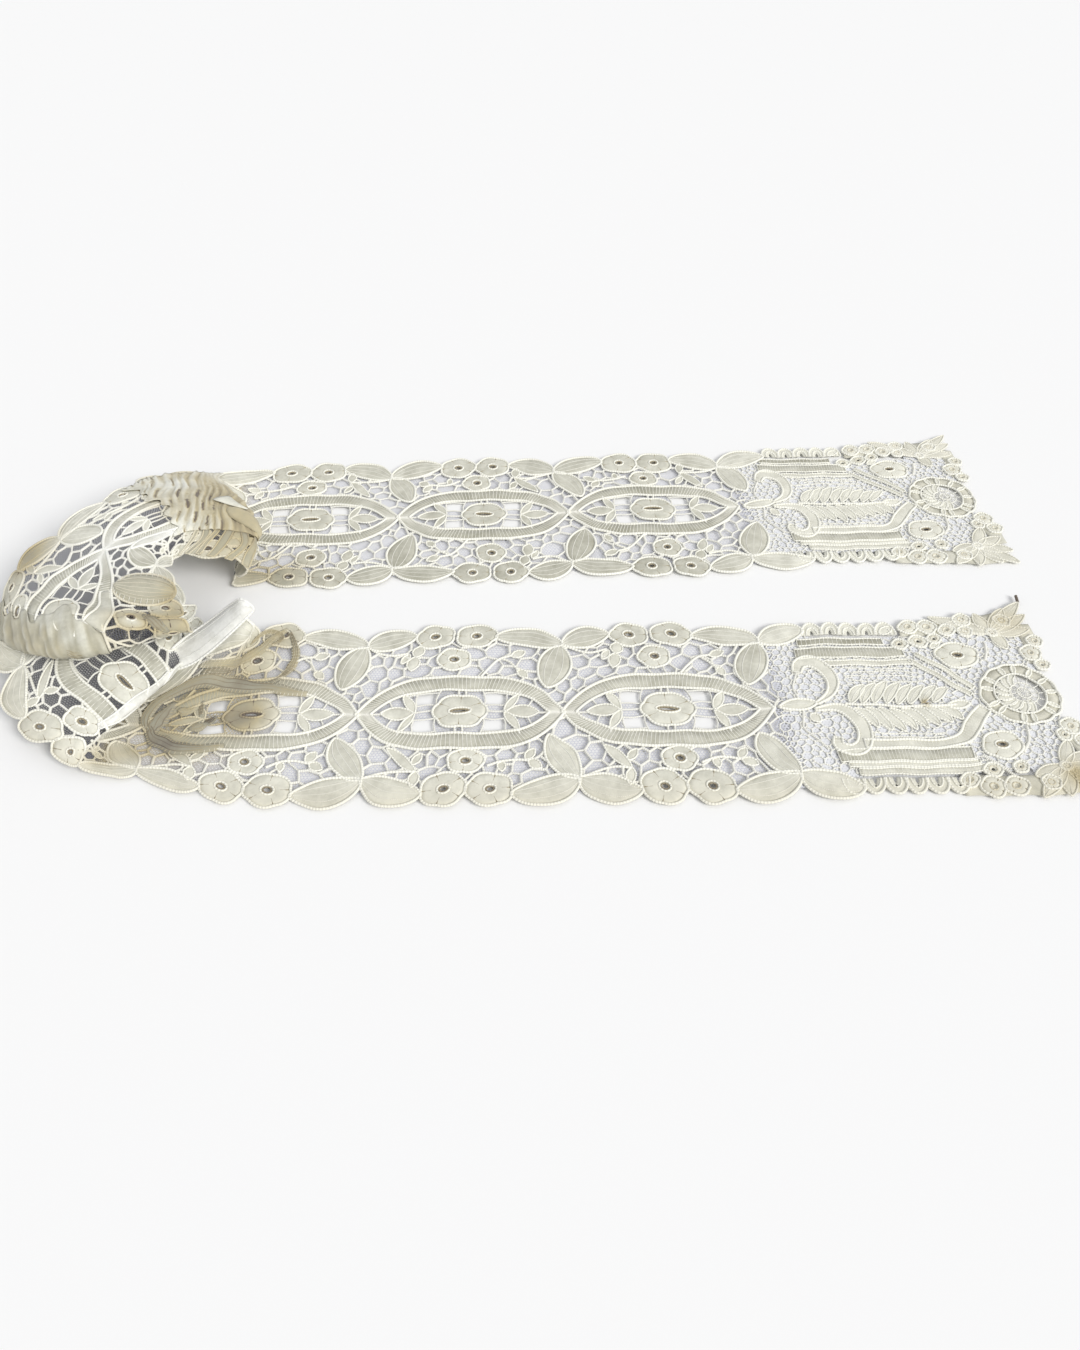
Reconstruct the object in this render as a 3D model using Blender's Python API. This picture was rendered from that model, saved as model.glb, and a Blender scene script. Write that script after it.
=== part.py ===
"""Bobbin lace band: one long scalloped strip that lies flat in a sideways U, with its turn drawn up in folds."""

import math

import bpy
import numpy as np

MM = 0.001

# The band laid out flat, in mm. "along" runs from the near end to the far end, and "across" is measured from
# the medallions' axis: negative towards the outside of the turn, positive towards its inside.
MEDALLION = 95.0
MEDALLIONS = 9
END_PANEL = 138.0
FIRST_CROSSING = END_PANEL
LAST_CROSSING = FIRST_CROSSING + MEDALLIONS * MEDALLION
LENGTH = LAST_CROSSING + END_PANEL
OUTER_HALF = 52.5
INNER_HALF = 55.0
THICKNESS = 1.0

# Where the flat legs lie, in mm: a crossing on each leg's axis, and the leg's turn from the X axis.
NEAR_LEG = {"along": 328.0, "x": -75.0, "y": -76.0, "turn": math.radians(1.0)}
FAR_LEG = {"along": 803.0, "x": -70.0, "y": 64.0, "turn": math.radians(2.9)}
NEAR_END_BEND = 5.0  # how far the near end curves in towards the other leg

# Sections of the gathered turn, in mm: where the outer edge, the medallions' axis and the inner edge are.
SECTION_COLUMNS = ("along", "outer", "axis", "inner")
SECTIONS = (
    (370, (-117, -127, 0), (-117, -77, 0), (-117, -21, 2)),
    (388, (-134, -123, 0), (-135, -78, 0), (-131, -29, 12)),
    (403, (-148, -119, 0), (-150, -80, 0), (-122, -38, 27)),
    (423, (-168, -114, 0), (-169, -83, 1), (-136, -36, 16)),
    (438, (-182, -111, 1), (-183, -82, 3), (-147, -31, 6)),
    (449, (-193, -108, 2), (-181, -80, 9), (-152, -27, 3)),
    (460, (-203, -102, 4), (-170, -79, 14), (-157, -23, 3)),
    (471, (-213, -96, 5), (-177, -71, 17), (-161, -16, 3)),
    (493, (-229, -82, 7), (-194, -56, 20), (-166, -6, 3)),
    (518, (-242, -62, 9), (-204, -33, 20), (-177, 6, 8)),
    (534, (-247, -46, 11), (-206, -45, 26), (-166, -13, 14)),
    (550, (-249, -31, 14), (-201, -63, 30), (-157, -33, 19)),
    (565, (-249, -16, 18), (-204, -51, 38), (-152, -42, 25)),
    (582, (-247, 0, 23), (-204, -35, 35), (-159, -31, 25)),
    (600, (-241, 14, 27), (-202, -17, 34), (-163, -19, 30)),
    (613, (-234, 25, 28), (-200, -3, 35), (-168, -9, 27)),
    (636, (-222, 45, 26), (-189, 18, 34), (-177, 5, 18)),
    (660, (-211, 67, 21), (-173, 34, 30), (-172, 9, 20)),
    (676, (-203, 80, 16), (-160, 41, 26), (-158, 7, 21)),
    (690, (-193, 89, 11), (-147, 45, 22), (-141, 6, 16)),
    (702, (-183, 97, 6), (-155, 53, 12), (-147, 6, 9)),
    (712, (-172, 103, 3), (-158, 59, 3), (-151, 7, 2)),
    (723, (-156, 109, 0), (-150, 61, 0), (-147, 7, 0)),
    (742, (-134, 113, 0), (-131, 61, 0), (-128, 8, 0)),
)
LEG_STATIONS = (280, 310, 340, 760, 790, 820)

# One repeat's scallops on each edge, in mm back from that edge's leaf joint: two leaves and two flowers.
SCALLOPS = {
    "outer": {"joint": -6.0, "spans": ((0, 26), (26, 45), (45, 66), (66, 95)), "notch": 5.0},
    "inner": {"joint": -1.0, "spans": ((0, 24), (24, 43), (43, 63), (63, 95)), "notch": 4.5},
}
END_SCALLOP = 9.0
END_NOTCH = 2.0
LEAF_ROOM = 26.0  # a panel's small scallops start past the last leaf, and stop before the corner flowers
PANEL_SCALLOPS_STOP = 84.0
FLARE_START = 70.0
OUTER_FLARE = 2.5
INNER_FLARE = 10.0

# The end edge, in mm past the last crossing, at distances across the band.
END_EDGE = {
    "across": (-55, -40, -24, -12, -4.5, 4.5, 12, 24, 42, 65),
    "past": (147, 141, 133, 130, 136, 138, 137, 134, 134, 139),
}
END_COLUMN_START = 104.0  # columns further out than this fan towards the end edge

# Gaps beside each medallion's central flower, in mm from its centre.
GAP_ALONG = (10.0, 22.0)
GAP_ACROSS = (3.5, 12.0)
GAP_CORNER = 2.2

ROWS = (-52.5, -38.0, -22.0, -12.0, -3.5, 3.5, 12.0, 22.0, 38.0, 55.0)
COLUMNS = (-47.5, -43, -38, -33, -27.5, -22, -16, -10, -5, 0, 5, 10, 16, 22, 27.5, 33, 38, 43)
END_COLUMN_STEP = 5.0
FOLD_COLUMNS = (448.0, 453.0, 458.0, 543.5, 549.5, 554.0, 559.0, 688.0, 693.0, 699.0)
FOLD_SPACING = 2.4  # an ordinary column nearer than this to a fold's own column is left out

THREAD_COLOUR = (0.80, 0.77, 0.67, 1.0)
THREAD_ROUGHNESS = 0.9


def clear_scene():
    for item in list(bpy.data.objects):
        bpy.data.objects.remove(item, do_unlink=True)


def leg_section(leg, along, side):
    """The outer edge, axis and inner edge of a flat leg; side is 1 where along runs back towards the turn."""
    run = np.array([math.cos(leg["turn"]), math.sin(leg["turn"]), 0.0])
    sideways = np.array([-run[1], run[0], 0.0]) * side
    middle = np.array([leg["x"], leg["y"], 0.0]) + run * (leg["along"] - along) * side
    bend = max(0.0, FIRST_CROSSING - along) / END_PANEL
    middle = middle + sideways * NEAR_END_BEND * bend * bend
    return np.array([middle - sideways * OUTER_HALF, middle, middle + sideways * INNER_HALF])


def any_leg_section(along):
    near = along < 0.5 * LENGTH
    return leg_section(NEAR_LEG, along, 1) if near else leg_section(FAR_LEG, along, -1)


def turn_sections():
    """Stations and their three points, from the near leg through the turn to the far leg."""
    found = {}
    for row in SECTIONS:
        section = dict(zip(SECTION_COLUMNS, row))
        points = [section["outer"], section["axis"], section["inner"]]
        found[float(section["along"])] = np.array(points, dtype=float)
    for along in LEG_STATIONS:
        found[float(along)] = any_leg_section(along)
    stations = np.array(sorted(found))
    return stations, np.array([found[along] for along in stations])


def station_slopes(stations, points):
    """How the three points run on from section to section, weighted towards the nearer neighbour."""
    gaps = np.diff(stations)
    runs = np.diff(points, axis=0) / gaps[:, None, None]
    weight = (gaps[:-1] / (gaps[:-1] + gaps[1:]))[:, None, None]
    slopes = np.empty_like(points)
    slopes[0], slopes[-1] = runs[0], runs[-1]
    slopes[1:-1] = runs[:-1] * (1 - weight) + runs[1:] * weight
    return slopes


STATIONS, POINTS = turn_sections()
SLOPES = station_slopes(STATIONS, POINTS)


def section_at(along):
    """The outer edge, axis and inner edge at any place along the band, by cubic runs between sections."""
    if along <= STATIONS[0] or along >= STATIONS[-1]:
        return any_leg_section(along)
    k = int(np.searchsorted(STATIONS, along)) - 1
    gap = STATIONS[k + 1] - STATIONS[k]
    t = (along - STATIONS[k]) / gap
    start = (2 * t**3 - 3 * t**2 + 1) * POINTS[k] + (t**3 - 2 * t**2 + t) * gap * SLOPES[k]
    finish = (3 * t**2 - 2 * t**3) * POINTS[k + 1] + (t**3 - t**2) * gap * SLOPES[k + 1]
    return start + finish


def band_point(along, across):
    """A point of the band's underside, in mm: a parabola across through the section's three points."""
    outer, axis, inner = section_at(along)
    a, b = -OUTER_HALF, INNER_HALF
    point = outer * across * (across - b) / (a * (a - b))
    point = point + axis * (across - a) * (across - b) / (a * b)
    point = point + inner * across * (across - a) / (b * (b - a))
    point[2] = max(point[2], 0.0)
    return point


def arch(share):
    """A round scallop's outline over its span, 0 at both ends and 1 in the middle."""
    return math.sqrt(max(0.0, 1.0 - (2.0 * share - 1.0) ** 2))


def panel_depth(past):
    """How far inside the full width the edge lies beside an end panel."""
    if LEAF_ROOM < past < PANEL_SCALLOPS_STOP:
        return END_NOTCH * (2.0 - arch((past - LEAF_ROOM) / END_SCALLOP % 1.0))
    return END_NOTCH


def edge_depth(edge, along):
    """How far inside the full width the scalloped edge lies."""
    past = max(FIRST_CROSSING - along, along - LAST_CROSSING)
    if past > LEAF_ROOM:
        return panel_depth(past)
    back = (edge["joint"] - (along - FIRST_CROSSING)) % MEDALLION
    for start, stop in edge["spans"]:
        if start <= back < stop:
            return edge["notch"] * (1.0 - arch((back - start) / (stop - start)))
    return edge["notch"]


def flare(along, amount):
    past = max(FIRST_CROSSING - along, along - LAST_CROSSING)
    share = min(1.0, max(0.0, (past - FLARE_START) / (END_PANEL - FLARE_START)))
    return amount * share * share


def column_places():
    """Places along the band for the columns of facets: a repeat's own, closer at the fold lines."""
    places = [LAST_CROSSING]
    for repeat in range(MEDALLIONS):
        centre = FIRST_CROSSING + (repeat + 0.5) * MEDALLION
        places += [centre + offset for offset in COLUMNS]
    steps = int(round(END_PANEL / END_COLUMN_STEP))
    for k in range(1, steps + 1):
        past = END_PANEL * k / steps
        places += [FIRST_CROSSING - past, LAST_CROSSING + past]
    clear = [p for p in places if min(abs(p - f) for f in FOLD_COLUMNS) > FOLD_SPACING]
    return sorted(clear + list(FOLD_COLUMNS))


def at_end(along, across):
    """Moves the outermost columns so that the last one follows the end edge."""
    past = max(FIRST_CROSSING - along, along - LAST_CROSSING)
    if past <= END_COLUMN_START:
        return along
    share = (past - END_COLUMN_START) / (END_PANEL - END_COLUMN_START)
    reach = float(np.interp(across, END_EDGE["across"], END_EDGE["past"])) - END_COLUMN_START
    moved = END_COLUMN_START + share * reach
    return FIRST_CROSSING - moved if along < FIRST_CROSSING else LAST_CROSSING + moved


def across_at(along, row):
    """The distance across of a row of facets; the first and last rows are the scalloped edges."""
    if row == 0:
        return -(OUTER_HALF + flare(along, OUTER_FLARE) - edge_depth(SCALLOPS["outer"], along))
    if row == len(ROWS) - 1:
        return INNER_HALF + flare(along, INNER_FLARE) - edge_depth(SCALLOPS["inner"], along)
    return ROWS[row]


def from_centre(along):
    """The distance along from the nearest medallion's centre, or None beside an end panel."""
    if not FIRST_CROSSING < along < LAST_CROSSING:
        return None
    return (along - FIRST_CROSSING) % MEDALLION - 0.5 * MEDALLION


def is_gap(along, next_along, row):
    """True where the cell between two columns and two rows lies in a gap beside a flower."""
    offset = from_centre(0.5 * (along + next_along))
    if offset is None:
        return False
    middle = abs(0.5 * (ROWS[row] + ROWS[row + 1]))
    return GAP_ALONG[0] < abs(offset) < GAP_ALONG[1] and GAP_ACROSS[0] < middle < GAP_ACROSS[1]


def gap_corner(along, across):
    """Draws a gap's four corners in across the band, so that the gap has six sides rather than four."""
    offset = from_centre(along)
    if offset is None or abs(offset) not in GAP_ALONG or abs(across) not in GAP_ACROSS:
        return across
    inward = GAP_CORNER if abs(across) == GAP_ACROSS[0] else -GAP_CORNER
    return math.copysign(abs(across) + inward, across)


def sheet_mesh():
    """The band's underside as one sheet of facets, scalloped at its edges and open at its gaps."""
    places = column_places()
    vertices = []
    for along in places:
        for row in range(len(ROWS)):
            across = gap_corner(along, across_at(along, row))
            point = band_point(at_end(along, across), across)
            vertices.append(tuple(point * MM))
    count = len(ROWS)
    faces = []
    for c in range(len(places) - 1):
        for r in range(count - 1):
            if is_gap(places[c], places[c + 1], r):
                continue
            first = c * count + r
            faces.append((first, first + 1, first + count + 1, first + count))
    mesh = bpy.data.meshes.new("lace_band")
    mesh.from_pydata(vertices, [], faces)
    mesh.validate()
    return mesh


def centre_on_ground(mesh):
    """Puts the origin under the middle of the band's box, on the surface that it lies on."""
    corners = np.array([v.co for v in mesh.vertices])
    low, high = corners.min(axis=0), corners.max(axis=0)
    middle = 0.5 * (low + high)
    for vertex in mesh.vertices:
        vertex.co = (vertex.co[0] - middle[0], vertex.co[1] - middle[1], vertex.co[2] - low[2])


def thread_material():
    material = bpy.data.materials.new("lace_thread")
    material.use_nodes = True
    shader = material.node_tree.nodes["Principled BSDF"]
    shader.inputs["Base Color"].default_value = THREAD_COLOUR
    shader.inputs["Roughness"].default_value = THREAD_ROUGHNESS
    shader.inputs["Metallic"].default_value = 0.0
    return material


def lace_band():
    mesh = sheet_mesh()
    centre_on_ground(mesh)
    mesh.materials.append(thread_material())
    mesh.shade_smooth()
    band = bpy.data.objects.new("lace_band", mesh)
    bpy.context.scene.collection.objects.link(band)
    body = band.modifiers.new("thickness", "SOLIDIFY")
    body.thickness = THICKNESS * MM
    body.offset = 1.0
    body.use_rim = True
    return band


def main():
    clear_scene()
    lace_band()


if __name__ == "__main__":
    main()
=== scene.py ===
"""Bobbin lace band: clothwork, raised cords, joining bars and net, worked flat and laid over the frame."""

import math

import bpy
import numpy as np
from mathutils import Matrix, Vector, geometry


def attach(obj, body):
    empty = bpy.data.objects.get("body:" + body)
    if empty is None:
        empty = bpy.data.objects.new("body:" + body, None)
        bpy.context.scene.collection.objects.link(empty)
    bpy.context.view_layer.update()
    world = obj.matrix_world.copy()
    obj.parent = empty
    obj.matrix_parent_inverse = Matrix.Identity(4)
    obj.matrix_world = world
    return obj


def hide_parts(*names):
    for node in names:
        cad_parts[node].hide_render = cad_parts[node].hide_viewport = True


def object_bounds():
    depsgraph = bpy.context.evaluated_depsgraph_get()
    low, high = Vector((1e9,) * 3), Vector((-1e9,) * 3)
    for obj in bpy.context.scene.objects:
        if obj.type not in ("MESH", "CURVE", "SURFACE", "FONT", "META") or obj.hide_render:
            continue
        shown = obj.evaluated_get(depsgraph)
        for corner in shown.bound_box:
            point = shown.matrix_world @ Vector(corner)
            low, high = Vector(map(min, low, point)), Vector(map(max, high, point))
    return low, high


bl_info = {
    "name": "Bobbin Lace Band",
    "version": (1, 0, 0),
    "blender": (4, 5, 0),
    "location": "View3D > Sidebar > Lace",
    "description": "Works a scalloped part-lace band and lays it over its frame",
    "category": "Add Mesh",
}

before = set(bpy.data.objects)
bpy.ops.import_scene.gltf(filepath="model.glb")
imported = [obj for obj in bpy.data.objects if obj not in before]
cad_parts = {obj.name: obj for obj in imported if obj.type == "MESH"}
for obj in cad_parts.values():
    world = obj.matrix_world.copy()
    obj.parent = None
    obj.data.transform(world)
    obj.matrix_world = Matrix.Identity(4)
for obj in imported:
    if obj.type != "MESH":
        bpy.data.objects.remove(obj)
CAD_BOX = [list(corner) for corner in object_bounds()]

MM = 0.001
NODE = "lace_band"

# The band laid out flat, in mm. "along" runs from the near end to the far end, and "across" is negative
# towards the outside of the turn and positive towards its inside.
MEDALLION = 95.0
MEDALLIONS = 9
END_PANEL = 138.0
FIRST_CROSSING = END_PANEL
LAST_CROSSING = FIRST_CROSSING + MEDALLIONS * MEDALLION
LENGTH = LAST_CROSSING + END_PANEL
OUTER_HALF = 52.5
INNER_HALF = 55.0

# Where the band lies, in mm, before its low corner is laid on that of the frame's box.
NEAR_LEG = {"along": 328.0, "x": -75.0, "y": -76.0, "turn": math.radians(1.0)}
FAR_LEG = {"along": 803.0, "x": -70.0, "y": 64.0, "turn": math.radians(2.9)}
NEAR_END_BEND = 5.0
OUTLINE_LOW = np.array([-249.73, -128.72, 0.0])
SECTION_COLUMNS = ("along", "outer", "axis", "inner")
SECTIONS = (
    (370, (-117, -127, 0), (-117, -77, 0), (-117, -21, 2)),
    (388, (-134, -123, 0), (-135, -78, 0), (-131, -29, 12)),
    (403, (-148, -119, 0), (-150, -80, 0), (-122, -38, 27)),
    (423, (-168, -114, 0), (-169, -83, 1), (-136, -36, 16)),
    (438, (-182, -111, 1), (-183, -82, 3), (-147, -31, 6)),
    (449, (-193, -108, 2), (-181, -80, 9), (-152, -27, 3)),
    (460, (-203, -102, 4), (-170, -79, 14), (-157, -23, 3)),
    (471, (-213, -96, 5), (-177, -71, 17), (-161, -16, 3)),
    (493, (-229, -82, 7), (-194, -56, 20), (-166, -6, 3)),
    (518, (-242, -62, 9), (-204, -33, 20), (-177, 6, 8)),
    (534, (-247, -46, 11), (-206, -45, 26), (-166, -13, 14)),
    (550, (-249, -31, 14), (-201, -63, 30), (-157, -33, 19)),
    (565, (-249, -16, 18), (-204, -51, 38), (-152, -42, 25)),
    (582, (-247, 0, 23), (-204, -35, 35), (-159, -31, 25)),
    (600, (-241, 14, 27), (-202, -17, 34), (-163, -19, 30)),
    (613, (-234, 25, 28), (-200, -3, 35), (-168, -9, 27)),
    (636, (-222, 45, 26), (-189, 18, 34), (-177, 5, 18)),
    (660, (-211, 67, 21), (-173, 34, 30), (-172, 9, 20)),
    (676, (-203, 80, 16), (-160, 41, 26), (-158, 7, 21)),
    (690, (-193, 89, 11), (-147, 45, 22), (-141, 6, 16)),
    (702, (-183, 97, 6), (-155, 53, 12), (-147, 6, 9)),
    (712, (-172, 103, 3), (-158, 59, 3), (-151, 7, 2)),
    (723, (-156, 109, 0), (-150, 61, 0), (-147, 7, 0)),
    (742, (-134, 113, 0), (-131, 61, 0), (-128, 8, 0)),
)
LEG_STATIONS = (280, 310, 340, 760, 790, 820)

# Heights over the band's underside, in mm.
CLOTH_LEVEL = 1.15
CORD_RISE = 0.25
CORD_LEVEL = CLOTH_LEVEL + CORD_RISE
BAR_LEVEL = 1.0
NET_LEVEL = 0.7
# The least height over the floor for the middle of a thread or of the clothwork, in mm.
LOWEST = 0.12
# How far apart the points of a path are, and how far to each side the band's slope is taken, in mm.
PATH_STEP = 1.7
SLOPE_STEP = 0.6


# ---------------------------------------------------------------- the band's surface


def leg_points(leg, along, side):
    """The outer edge, axis and inner edge of a flat leg; side is 1 on the near leg and -1 on the far one."""
    run = np.array([math.cos(leg["turn"]), math.sin(leg["turn"]), 0.0])
    sideways = np.array([-run[1], run[0], 0.0]) * side
    bend = np.maximum(0.0, FIRST_CROSSING - along) / END_PANEL
    middle = np.array([leg["x"], leg["y"], 0.0]) + run * ((leg["along"] - along) * side)[:, None]
    middle = middle + sideways * (NEAR_END_BEND * bend * bend)[:, None]
    return np.stack([middle - sideways * OUTER_HALF, middle, middle + sideways * INNER_HALF], axis=1)


def turn_sections():
    """Stations and their three points, from the near leg through the turn to the far leg."""
    found = {}
    for row in SECTIONS:
        section = dict(zip(SECTION_COLUMNS, row))
        found[float(section["along"])] = np.array([section[k] for k in SECTION_COLUMNS[1:]], dtype=float)
    for along in LEG_STATIONS:
        leg, side = (NEAR_LEG, 1) if along < 0.5 * LENGTH else (FAR_LEG, -1)
        found[float(along)] = leg_points(leg, np.array([float(along)]), side)[0]
    stations = np.array(sorted(found))
    return stations, np.array([found[along] for along in stations])


def station_slopes(stations, points):
    """How the three points run on from section to section, weighted towards the nearer neighbour."""
    gaps = np.diff(stations)
    runs = np.diff(points, axis=0) / gaps[:, None, None]
    weight = (gaps[:-1] / (gaps[:-1] + gaps[1:]))[:, None, None]
    slopes = np.empty_like(points)
    slopes[0], slopes[-1] = runs[0], runs[-1]
    slopes[1:-1] = runs[:-1] * (1 - weight) + runs[1:] * weight
    return slopes


STATIONS, POINTS = turn_sections()
SLOPES = station_slopes(STATIONS, POINTS)


def section_points(along):
    """The outer edge, axis and inner edge at places along the band, by cubic runs between sections."""
    k = np.clip(np.searchsorted(STATIONS, along) - 1, 0, len(STATIONS) - 2)
    gap = (STATIONS[k + 1] - STATIONS[k])[:, None, None]
    t = np.clip((along - STATIONS[k])[:, None, None] / gap, 0.0, 1.0)
    turn = (2 * t**3 - 3 * t**2 + 1) * POINTS[k] + (t**3 - 2 * t**2 + t) * gap * SLOPES[k]
    turn = turn + (3 * t**2 - 2 * t**3) * POINTS[k + 1] + (t**3 - t**2) * gap * SLOPES[k + 1]
    near = (along <= STATIONS[0])[:, None, None]
    far = (along >= STATIONS[-1])[:, None, None]
    straight = np.where(near, leg_points(NEAR_LEG, along, 1), leg_points(FAR_LEG, along, -1))
    return np.where(near | far, straight, turn)


def surface(along, across):
    """Points of the band's underside, in mm: a parabola across through each section's three points."""
    section = section_points(along)
    a, b, v = -OUTER_HALF, INNER_HALF, across
    weights = (v * (v - b) / (a * (a - b)), (v - a) * (v - b) / (a * b), v * (v - a) / (b * (b - a)))
    point = sum(section[:, i] * weights[i][:, None] for i in range(3))
    point[:, 2] = np.maximum(point[:, 2], 0.0)
    return point


def bell(value, middle, spread):
    return np.exp(-(((value - middle) / spread) ** 2))


def ramp(value, start, stop):
    """0 up to the start, rising evenly to 1 at the stop."""
    return np.clip((value - start) / (stop - start), 0.0, 1.0)


def past_crossing(along):
    """How far places lie past the nearer outer crossing, into an end panel; negative between the two."""
    return np.maximum(FIRST_CROSSING - along, along - LAST_CROSSING)


def unevenness(along, across):
    """How far the lace stands off its frame, in mm: slow waves, and puckers where the turn is drawn up."""
    waves = 0.5 + 0.5 * np.sin(along / 17.0 + across / 23.0) * np.sin(along / 9.5 - across / 14.0)
    crumple = np.sin(across / 1.9 - along / 3.2) * np.sin(along / 2.3) * bell(along, 556.0, 14.0)
    return 0.8 * waves + 0.7 * bell(along, 688.0, 20.0) + 0.6 * (1.0 + crumple) * bell(along, 558.0, 20.0)


def hand_wander(points):
    """Moves flat points a little, as hand work wanders from its pattern."""
    along, across = points[:, 0], points[:, 1]
    moved = points.copy()
    moved[:, 0] += 0.55 * np.sin(across / 7.1 + along / 31.0) + 0.22 * np.sin(along / 2.9 + across / 3.7)
    moved[:, 1] += 0.6 * np.sin(along / 13.7) + 0.28 * np.sin(along / 3.3 + across / 5.3)
    return moved


def laid(points, heights):
    """Flat points (along, across) at heights over the band, as places in metres in the frame's own axes."""
    flat = hand_wander(points)
    along, across = flat[:, 0], flat[:, 1]
    base = surface(along, across)
    run = surface(along + SLOPE_STEP, across) - surface(along - SLOPE_STEP, across)
    side = surface(along, across + SLOPE_STEP) - surface(along, across - SLOPE_STEP)
    out = np.cross(side, run)
    out /= np.maximum(np.linalg.norm(out, axis=1), 1e-6)[:, None]
    place = base + out * (heights + unevenness(along, across))[:, None]
    place[:, 2] = np.maximum(place[:, 2], LOWEST)
    return (place - OUTLINE_LOW) * MM + (*CAD_BOX[0][:2], 0.0)


AGED_AND_SHADED_PLACES = (
    # along, across, spread along, spread across, strength: brown above 0, bleached below; places marked
    # below are painted shade or painted highlight
    (684.0, 0.0, 19.0, 60.0, 1.25),
    # painted highlight along the top of the crest
    (672.0, -30.0, 9.0, 9.0, -0.8),
    (687.0, 22.0, 6.0, 12.0, 0.35),
    (655.0, -4.0, 13.0, 24.0, 0.5),
    (552.0, -14.0, 14.0, 44.0, 0.75),
    # painted highlights on the roll
    (557.0, 7.0, 3.0, 5.0, -0.9),
    (564.0, -8.0, 3.5, 22.0, -0.6),
    # painted shade in the deep hollow inside the turn
    (567.0, 36.0, 9.0, 14.0, 1.4),
    # painted shade along the turned-in inner edge
    (578.0, 52.0, 22.0, 7.0, 0.9),
    # brown stain over the near leg, partly painted shade under the overhanging fold
    (413.0, 0.0, 15.0, 22.0, 1.2),
    (385.0, 20.0, 30.0, 9.0, 1.0),
    (404.0, -20.0, 16.0, 8.0, 0.9),
    (381.0, -1.0, 13.0, 12.0, 1.6),
    # painted highlight on the roll
    (566.0, 33.0, 3.0, 4.5, -1.3),
    # more of the stain, partly painted shade under the fold
    (392.0, 36.0, 20.0, 9.0, 0.8),
    (371.0, 46.0, 11.0, 9.0, 0.7),
    (430.0, -26.0, 13.0, 13.0, 0.4),
    (590.0, -46.0, 16.0, 11.0, 1.3),
    (440.0, -34.0, 12.0, 12.0, 0.5),
    # browner gathered edge of the far leg, partly painted shade of its ruffles
    (738.0, 44.0, 24.0, 13.0, 0.85),
    (12.0, -44.0, 6.0, 7.0, 0.8),
    (10.0, 49.0, 13.0, 9.0, 0.45),
    (66.0, 1.0, 1.8, 1.8, 1.6),
    (613.0, 2.0, 22.0, 14.0, -0.9),
    (640.0, 22.0, 20.0, 7.0, -0.9),
)
TURN_MIDDLE = 565.0
# How much browner the outer edge is, and the place along at which that ends.
OUTER_YELLOW = 0.25
OUTER_YELLOW_STOP = 560.0


def age_and_shade(points):
    """How the thread has changed at flat points, with painted shade and painted highlight laid on in places:
    -1 bleached, 0 fresh, 1 brown, 2 soiled.
    """
    along, across = points[:, 0], points[:, 1]
    total = OUTER_YELLOW * ramp(-across, 34.0, 50.0) * (along < OUTER_YELLOW_STOP)
    for place, side, spread, width, strength in AGED_AND_SHADED_PLACES:
        total = total + strength * bell(along, place, spread) * bell(across, side, width)
    return total


def greyness(points):
    """How much greyer the clothwork is at flat points, or how much paler where it is below 0; the greying in
    the turn is painted shade of its folds, and over the stain partly so.
    """
    along, across = points[:, 0], points[:, 1]
    far = ramp(along, 705.0, 745.0) * (1.0 - ramp(along, LAST_CROSSING - 40.0, LAST_CROSSING + 20.0))
    past = past_crossing(along)
    edge = ramp(-across, 34.0, 46.0) * (along < 470.0)
    on_leg = ramp(np.abs(along - TURN_MIDDLE), 150.0, 170.0)
    inner = ramp(across, 34.0, 44.0) * ramp(-past, 0.0, 20.0) * on_leg
    # greyer in the middle of the turn: painted shade of its folds
    turn = bell(along, 590.0, 34.0) * bell(across, 22.0, 34.0)
    # brown stain over the near leg, partly painted shade under the overhanging fold
    stain_and_shade = bell(along, 398.0, 28.0) * bell(across, 4.0, 28.0)
    end = ramp(past, 0.0, 30.0)
    return 0.26 * far - 0.15 * end - 0.12 * edge + 0.2 * inner + 0.3 * turn + 0.3 * stain_and_shade


# ---------------------------------------------------------------- lace worked flat


class Work:
    """Lace worked flat, in mm: patches of clothwork, threads, and the shapes that the bars run up to."""

    def __init__(self):
        self.patches = []
        self.threads = []
        self.shapes = []
        self.unbarred = []
        self.net = np.zeros((0, 2, 2))

    def patch(self, points, heights, grain, tone, closed=False, soil=0.0):
        self.patches.append((points, heights, grain, tone, closed, soil))

    def thread(self, kind, points, radius, level, closed=False, soil=0.0):
        if kind == "gimp" and radius < FINE_GIMP:
            kind = "fine gimp"
        heights = np.zeros(len(points)) + level
        self.threads.append((kind, np.asarray(points, dtype=float), heights, radius, closed, soil))

    def add(self, other, origin, direction, side=1.0):
        """Lays another work at a place along the band, with its own axes running forward or back."""
        def moved(points):
            return points * (direction, side) + (origin, 0.0)

        for points, *rest in other.patches:
            self.patches.append((moved(points), *rest))
        for kind, points, *rest in other.threads:
            self.threads.append((kind, moved(points), *rest))
        self.shapes += [moved(shape) for shape in other.shapes]
        self.unbarred += [moved(shape) for shape in other.unbarred]


# The threads' half thicknesses, in mm; an outline cord below FINE_GIMP is one of the fine cords.
GIMP = 0.66
FINE_GIMP = 0.6
FINE_CORD = 0.45
VEIN = 0.17
BAR = 0.6
RIB = 0.17
# How much darker the thread round an eyelet is: painted shade in the eyelet's hollow.
EYELET_SHADE = 1.5


def lengths(path):
    steps = np.linalg.norm(np.diff(path, axis=0), axis=1)
    return np.concatenate([[0.0], np.cumsum(steps)])


def evenly(path, step=PATH_STEP):
    """The same path with points at even distances."""
    path = np.asarray(path, dtype=float)
    run = lengths(path)
    count = max(2, int(round(run[-1] / step)) + 1)
    places = np.linspace(0.0, run[-1], count)
    return np.stack([np.interp(places, run, path[:, 0]), np.interp(places, run, path[:, 1])], axis=1)


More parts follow.
